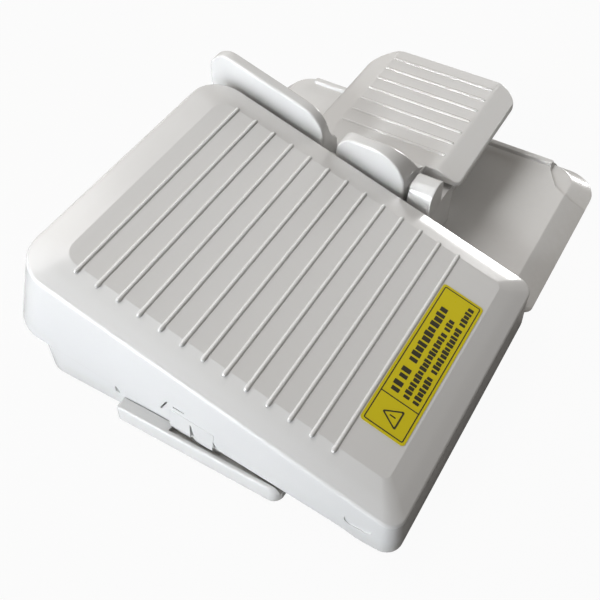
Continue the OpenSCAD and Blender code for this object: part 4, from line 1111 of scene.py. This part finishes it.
# %% Sizes of the plate
PLATE_W, PLATE_D, GROUND = 312.5, 237.0, 1.0
TRAY_LEFT, TRAY_EDGE, RIM_H = PEDAL_RIGHT + 0.8, 305.0, 11.8
TONGUE_Y, TONGUE_TOE, TONGUE_TOP, LEDGE_H = 64.5, 167.0, 5.6, 11.0
BASE_X, POCKET_Y, POCKET_STEP = 8.5, 32.0, 2.0
SCREW_PLACES = [(PEDAL_X + 36, 115.75, 3.2), (PEDAL_RIGHT - 36, 115.75, 3.2),
                (SIDE_X + 57, 98, 5.2), (SIDE_X + 57, 146, 5.2)]
FOOT_PLACES = [(PEDAL_RIGHT + 24, 20), (PLATE_W - 44, 24), (PEDAL_RIGHT + 24, PLATE_D - 22),
               (PLATE_W - 32, PLATE_D - 26), (PEDAL_X + 16, 115.75)]


def tray():
    ground = outline([(TRAY_LEFT, 0, 6), (PLATE_W, 0, 22), (PLATE_W, PLATE_D, 20),
                      (TRAY_LEFT, PLATE_D, 4)], 10)
    floor_line = outline([(TRAY_LEFT, 15.5, 0.5), (TRAY_EDGE, 15.5, 15), (TRAY_EDGE, PLATE_D - 8, 15),
                          (TRAY_LEFT, PLATE_D - 8, 4)], 10)

    def ring(share, inward, level):
        line = [a.lerp(b, share) for a, b in zip(ground, floor_line)]
        return [(p.x, p.y, level) for p in (inset(line, inward) if inward else line)]

    rise = TRAY_H - GROUND
    rings = [ring(0, 0.3, GROUND), ring(0.03, 0, GROUND + 0.3)]
    rings += [ring(t, 0, GROUND + rise * t) for t in (0.3, 0.6, 0.94)]
    rings += [ring(0.98, 0.04, TRAY_H - 0.18), ring(1.0, 0.2, TRAY_H - 0.05), ring(1.0, 0.7, TRAY_H)]
    return loft("mounting_tray", rings)


def tray_rim():
    """The low rim along the tray's right edge: a bead with round shoulders."""
    outer = TRAY_EDGE + 0.2
    section = [(outer - 6.0, TRAY_H - 1, 0), (outer, TRAY_H - 1, 0), (outer - 1.0, RIM_H, 0.8),
               (outer - 4.9, RIM_H, 0.8)]
    shape = outline(section, 4)
    middle = Vector((outer - 2.4, TRAY_H - 1))
    rings = []
    for y, size in ((POCKET_Y, 0.6), (POCKET_Y + 0.5, 0.88), (POCKET_Y + 1.3, 1.0), (PLATE_D - 21.6, 1.0),
                    (PLATE_D - 20.6, 0.88), (PLATE_D - 20, 0.6)):
        rings.append([(middle.x + (p.x - middle.x) * size, y, middle.y + (p.y - middle.y) * size)
                      for p in shape])
    return loft("rim", rings)


def corner_pocket():
    """The tray's heel corner lies a step lower: a cutter that stops at a flatter copy of the tray."""
    plan = outline([(TRAY_EDGE - 28, 12, 4), (TRAY_EDGE - 25, -10, 0), (PLATE_W + 20, -10, 0),
                    (PLATE_W + 20, POCKET_Y, 0), (TRAY_EDGE - 7, POCKET_Y, 8),
                    (TRAY_EDGE - 22, POCKET_Y - 9, 10)], 8)
    cutter = loft("pocket",
                  [[(p.x, p.y, z) for p in inset(plan, grow)] for z,
                   grow in ((0.2, 1.6), (7.2, 0.7), (8.2, 0.2), (9.3, -0.7), (20, -1.2))])
    flatter = tray()
    for vertex in flatter.data.vertices:
        rise = vertex.co.z / MM - GROUND
        vertex.co.z = (GROUND - 0.05 + rise * (1 - POCKET_STEP / (TRAY_H - GROUND))) * MM
    return carve(cutter, [flatter])


def cells(x_starts, y_starts, width, depth, top):
    """Square cells under a floor, with drafted walls, as one cutter."""
    def cell(x, y):
        return loft("cell",
                    [[(p.x, p.y, z)
                      for p in rectangle(x + d, y + d, x + width - d, y + depth - d, 1.5, 3)]
                             for z, d in ((-1, 0), (top - 0.6, 0.3), (top, 0.9))])
    return gather("cells", [cell(x, y) for x in x_starts for y in y_starts])


# %% [markdown]
# The ledge carries a groove for the cover's wall: the wall needs the groove when the
# tread goes down. The groove's floor follows the pressed rim, so it is deeper towards
# the toe, and it has extra room where the cover's two hooks come down.

# %% Ledge and tongue
TREAD_TRAVEL = 5


def pressed_rim(y):
    drop = (y - TREAD_AXLE_Y) * math.sin(math.radians(TREAD_TRAVEL))
    return RIM_START_Z + (y - RIM_START_Y) * RIM_SLOPE - drop - 1


def ledge():
    def ring(z, d):
        heel, toe = TONGUE_Y + reach_of(z, LEDGE_H, 5), TONGUE_TOE - reach_of(z, LEDGE_H, 2.5)
        return [(p.x, p.y, z)
                for p in outline([(d, heel, 6 - d), (BASE_X - 0.5, heel, 0), (BASE_X - 0.5, toe, 0),
                                                (d, toe, 3 - d)], 8)]

    body_piece = loft("ledge", [ring(z, d) for z, d in (
        (GROUND, 0.3), (GROUND + 0.3, 0), (2.2, 0), (LEDGE_H - 4.8, 0.55), (LEDGE_H - 3.6, 0.7),
                                                        (LEDGE_H - 2.4, 0.85),
        (LEDGE_H - 1.3, 1.0), (LEDGE_H - 0.75, 1.12), (LEDGE_H - 0.3, 1.4), (LEDGE_H, 2.0))])
    slot_x = (PEDAL_X - 0.6, PEDAL_X + COVER_WALL + 0.4)
    heel, toe = TONGUE_Y - 1, TONGUE_TOE + 1
    groove = [(heel, pressed_rim(heel)), (toe, pressed_rim(toe)), (toe, 40), (heel, 40)]
    heel, toe = HOOK_TOE - HOOK_W - 2, HOOK_TOE + 2
    room = [(heel, pressed_rim(heel) - HOOK_LOW), (toe, pressed_rim(toe) - HOOK_LOW), (toe, 40),
            (heel, 40)]
    return carve(body_piece,
                 [prism("groove", [Vector(p) for p in shape], "x", *slot_x, 0)
                  for shape in (groove, room)])


def tongue():
    plan = rectangle(4.1, TONGUE_Y + 0.1, TRAY_LEFT + 2.9, TONGUE_TOE - 0.1, 0)
    strip = prism("tongue", plan, "z", GROUND + 0.03, TONGUE_TOP, 0.5)
    xs = [BASE_X + 3 + 27 * i for i in range(6)]
    return carve(strip,
                 [cells(xs, [TONGUE_Y + 4 + 32.5 * i for i in range(3)], 24, 29.5, TONGUE_TOP - 2.4)])


# %% Make the plate
BOSS_R, SCREW_HOLE_R, SCREW_SEAT_R = 6, 1.9, 3.7
FOOT_BOSS_R, FOOT_SEAT_R, FOOT_SEAT_TOP = 8.6, 7.1, 2.5
plate = tray()
weld(plate, [tray_rim()])
carve(plate, [corner_pocket()])
carve(plate, [cells([TRAY_LEFT + 3 + 33 * i for i in range(3)], [20 + 33 * i for i in range(6)], 30, 30,
                    7)])
weld(plate, [tongue(), ledge()])
bosses = [rod_z("boss", x, y, BOSS_R, GROUND + 0.07, TRAY_H - 0.6
                if x > PEDAL_RIGHT else TONGUE_TOP - 0.3, 0)
          for x, y, _ in SCREW_PLACES]
bosses += [rod_z("boss", x, y, FOOT_BOSS_R, GROUND + 0.07, 7.2 if x > PEDAL_RIGHT else 4.6, 0)
           for x, y in FOOT_PLACES]
weld(plate, [gather("bosses", bosses)])
holes = gather("holes", [rod_z("hole", x, y, SCREW_HOLE_R, -1, 20, 0, 24) for x, y, _ in SCREW_PLACES])
seats = [rod_z("seat", x, y, SCREW_SEAT_R, -1, z, 0, 32) for x, y, z in SCREW_PLACES]
seats += [rod_z("seat", x, y, FOOT_SEAT_R, -1, FOOT_SEAT_TOP, 0, 48) for x, y in FOOT_PLACES]
carve(plate, [holes, gather("seats", seats)])
shade(plate)
dress(plate, "base", "shell_plastic", "mounting_plate")

# %% [markdown]
# ## Small parts
# Feet, screws and springs are turned or wound, so each is drawn by its section: a foot
# and a screw turn a profile about an axis, and a spring sweeps a wire along a helix.

# %% Turned parts
def turned(name, profile, place, count=40):
    """A solid of revolution about z from (radius, level) pairs that start and end on the axis."""
    mesh = bmesh.new()
    rows = []
    for radius, level in profile:
        if radius == 0:
            rows.append([mesh.verts.new(bench(place[0], place[1], level))] * count)
        else:
            rows.append([mesh.verts.new(bench(p.x, p.y, level)) for p in circle(*place, radius, count)])
    for low_row, high_row in zip(rows, rows[1:]):
        for i in range(count):
            j = (i + 1) % count
            corners = [low_row[i], low_row[j], high_row[j], high_row[i]]
            mesh.faces.new(list(dict.fromkeys(corners)))
    bmesh.ops.recalc_face_normals(mesh, faces=mesh.faces)
    return piece_from(name, mesh)


def foot(x, y, top):
    """A rubber foot with a hollow sole and a soft edge."""
    return turned("foot",
                  [(0, 0.5), (4.6, 0.5), (5.0, 0.15), (5.4, 0), (6.2, 0), (6.75, 0.2), (6.95, 0.7),
                           (6.98, top - 0.25), (6.8, top), (0, top)], (x, y))


def pan_screw(x, y, seat, length):
    """A pan-head screw with a cross recess; its head is below its seat."""
    pitch, threads = 0.7, int((length - 1.5) / 0.7)
    body_line = [(0, seat - 2), (2.6, seat - 1.95), (3.2, seat - 1.5), (3.4, seat - 0.9), (3.4, seat),
                 (1.5, seat)]
    for k in range(threads):
        low_level = seat + 0.8 + k * pitch
        body_line += [(1.35, low_level), (1.68, low_level + pitch * 0.5)]
    body_line += [(1.35, seat + 0.8 + threads * pitch), (0.7, seat + length - 0.3), (0, seat + length)]
    made = turned("screw", body_line, (x, y), 28)
    arms = [box("arm", x - a, y - b, seat - 3, x + a, y + b, seat - 0.9) for a,
            b in ((1.7, 0.35), (0.35, 1.7))]
    return carve(made, arms)


feet = gather("rubber_feet", [foot(x, y, 2.45) for x, y in FOOT_PLACES])
shade(feet)
dress(feet, "base", "rubber", "plate_feet")
screws = gather("plate_fixings", [pan_screw(x, y, z, 10 if z < 4 else 12) for x, y, z in SCREW_PLACES])
shade(screws)
dress(screws, "base", "steel", "plate_screws")


# %% [markdown]
# A spring is wound from its seat up. Its last turn at each end lies flat, as a real compression
# spring's does.

# %% Springs
def spring(name, x, y, low, high, radius, wire, turns, steps=26, sides=10):
    rings = []
    count = turns * steps
    for k in range(count + 1):
        turn = k / steps
        # How much of the climb is done: none in the first and the last three quarters
        climb = min(1.0, max(0.0, (turn - 0.75) / (turns - 1.5)))
        climb = climb * climb * (3 - 2 * climb) * 0.12 + climb * 0.88
        level = along(low + wire / 2, high - wire / 2, climb)
        angle = math.tau * turn
        slant = math.cos(angle), math.sin(angle)
        rings.append([(x + (radius + wire / 2 * math.cos(b)) * slant[0],
                       y + (radius + wire / 2 * math.cos(b)) * slant[1],
                       level + wire / 2 * math.sin(b))
                      for b in (math.tau * i / sides for i in range(sides))])
    return loft(name, rings)


def place_spring(name, node, point, high, radius, wire, turns):
    """Wind a spring from its foot up to a given top; it rides on no body."""
    x, y, low = point
    made = spring(name, x, y, low, high, radius, wire, turns)
    shade(made, 60)
    dress(made, None, "steel", node)
    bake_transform(made)


for side, x in (("left", PEDAL_X + 46), ("right", PEDAL_RIGHT - 46)):
    place_spring("tread_spring_" + side, "return_spring_" + side, (x, TOE_Y - 26, 21.05), 62.9,
                 7.5, 1.3, 7)
place_spring("side_coil", "side_spring", (SPRING_X, SIDE_MID_Y, SPRING_LOW + 0.05),
             SIDE_H - 5.1,
             SPRING_R, 1.1, 5)

# %% Sizes of the finished scene, and the last line
low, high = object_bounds()
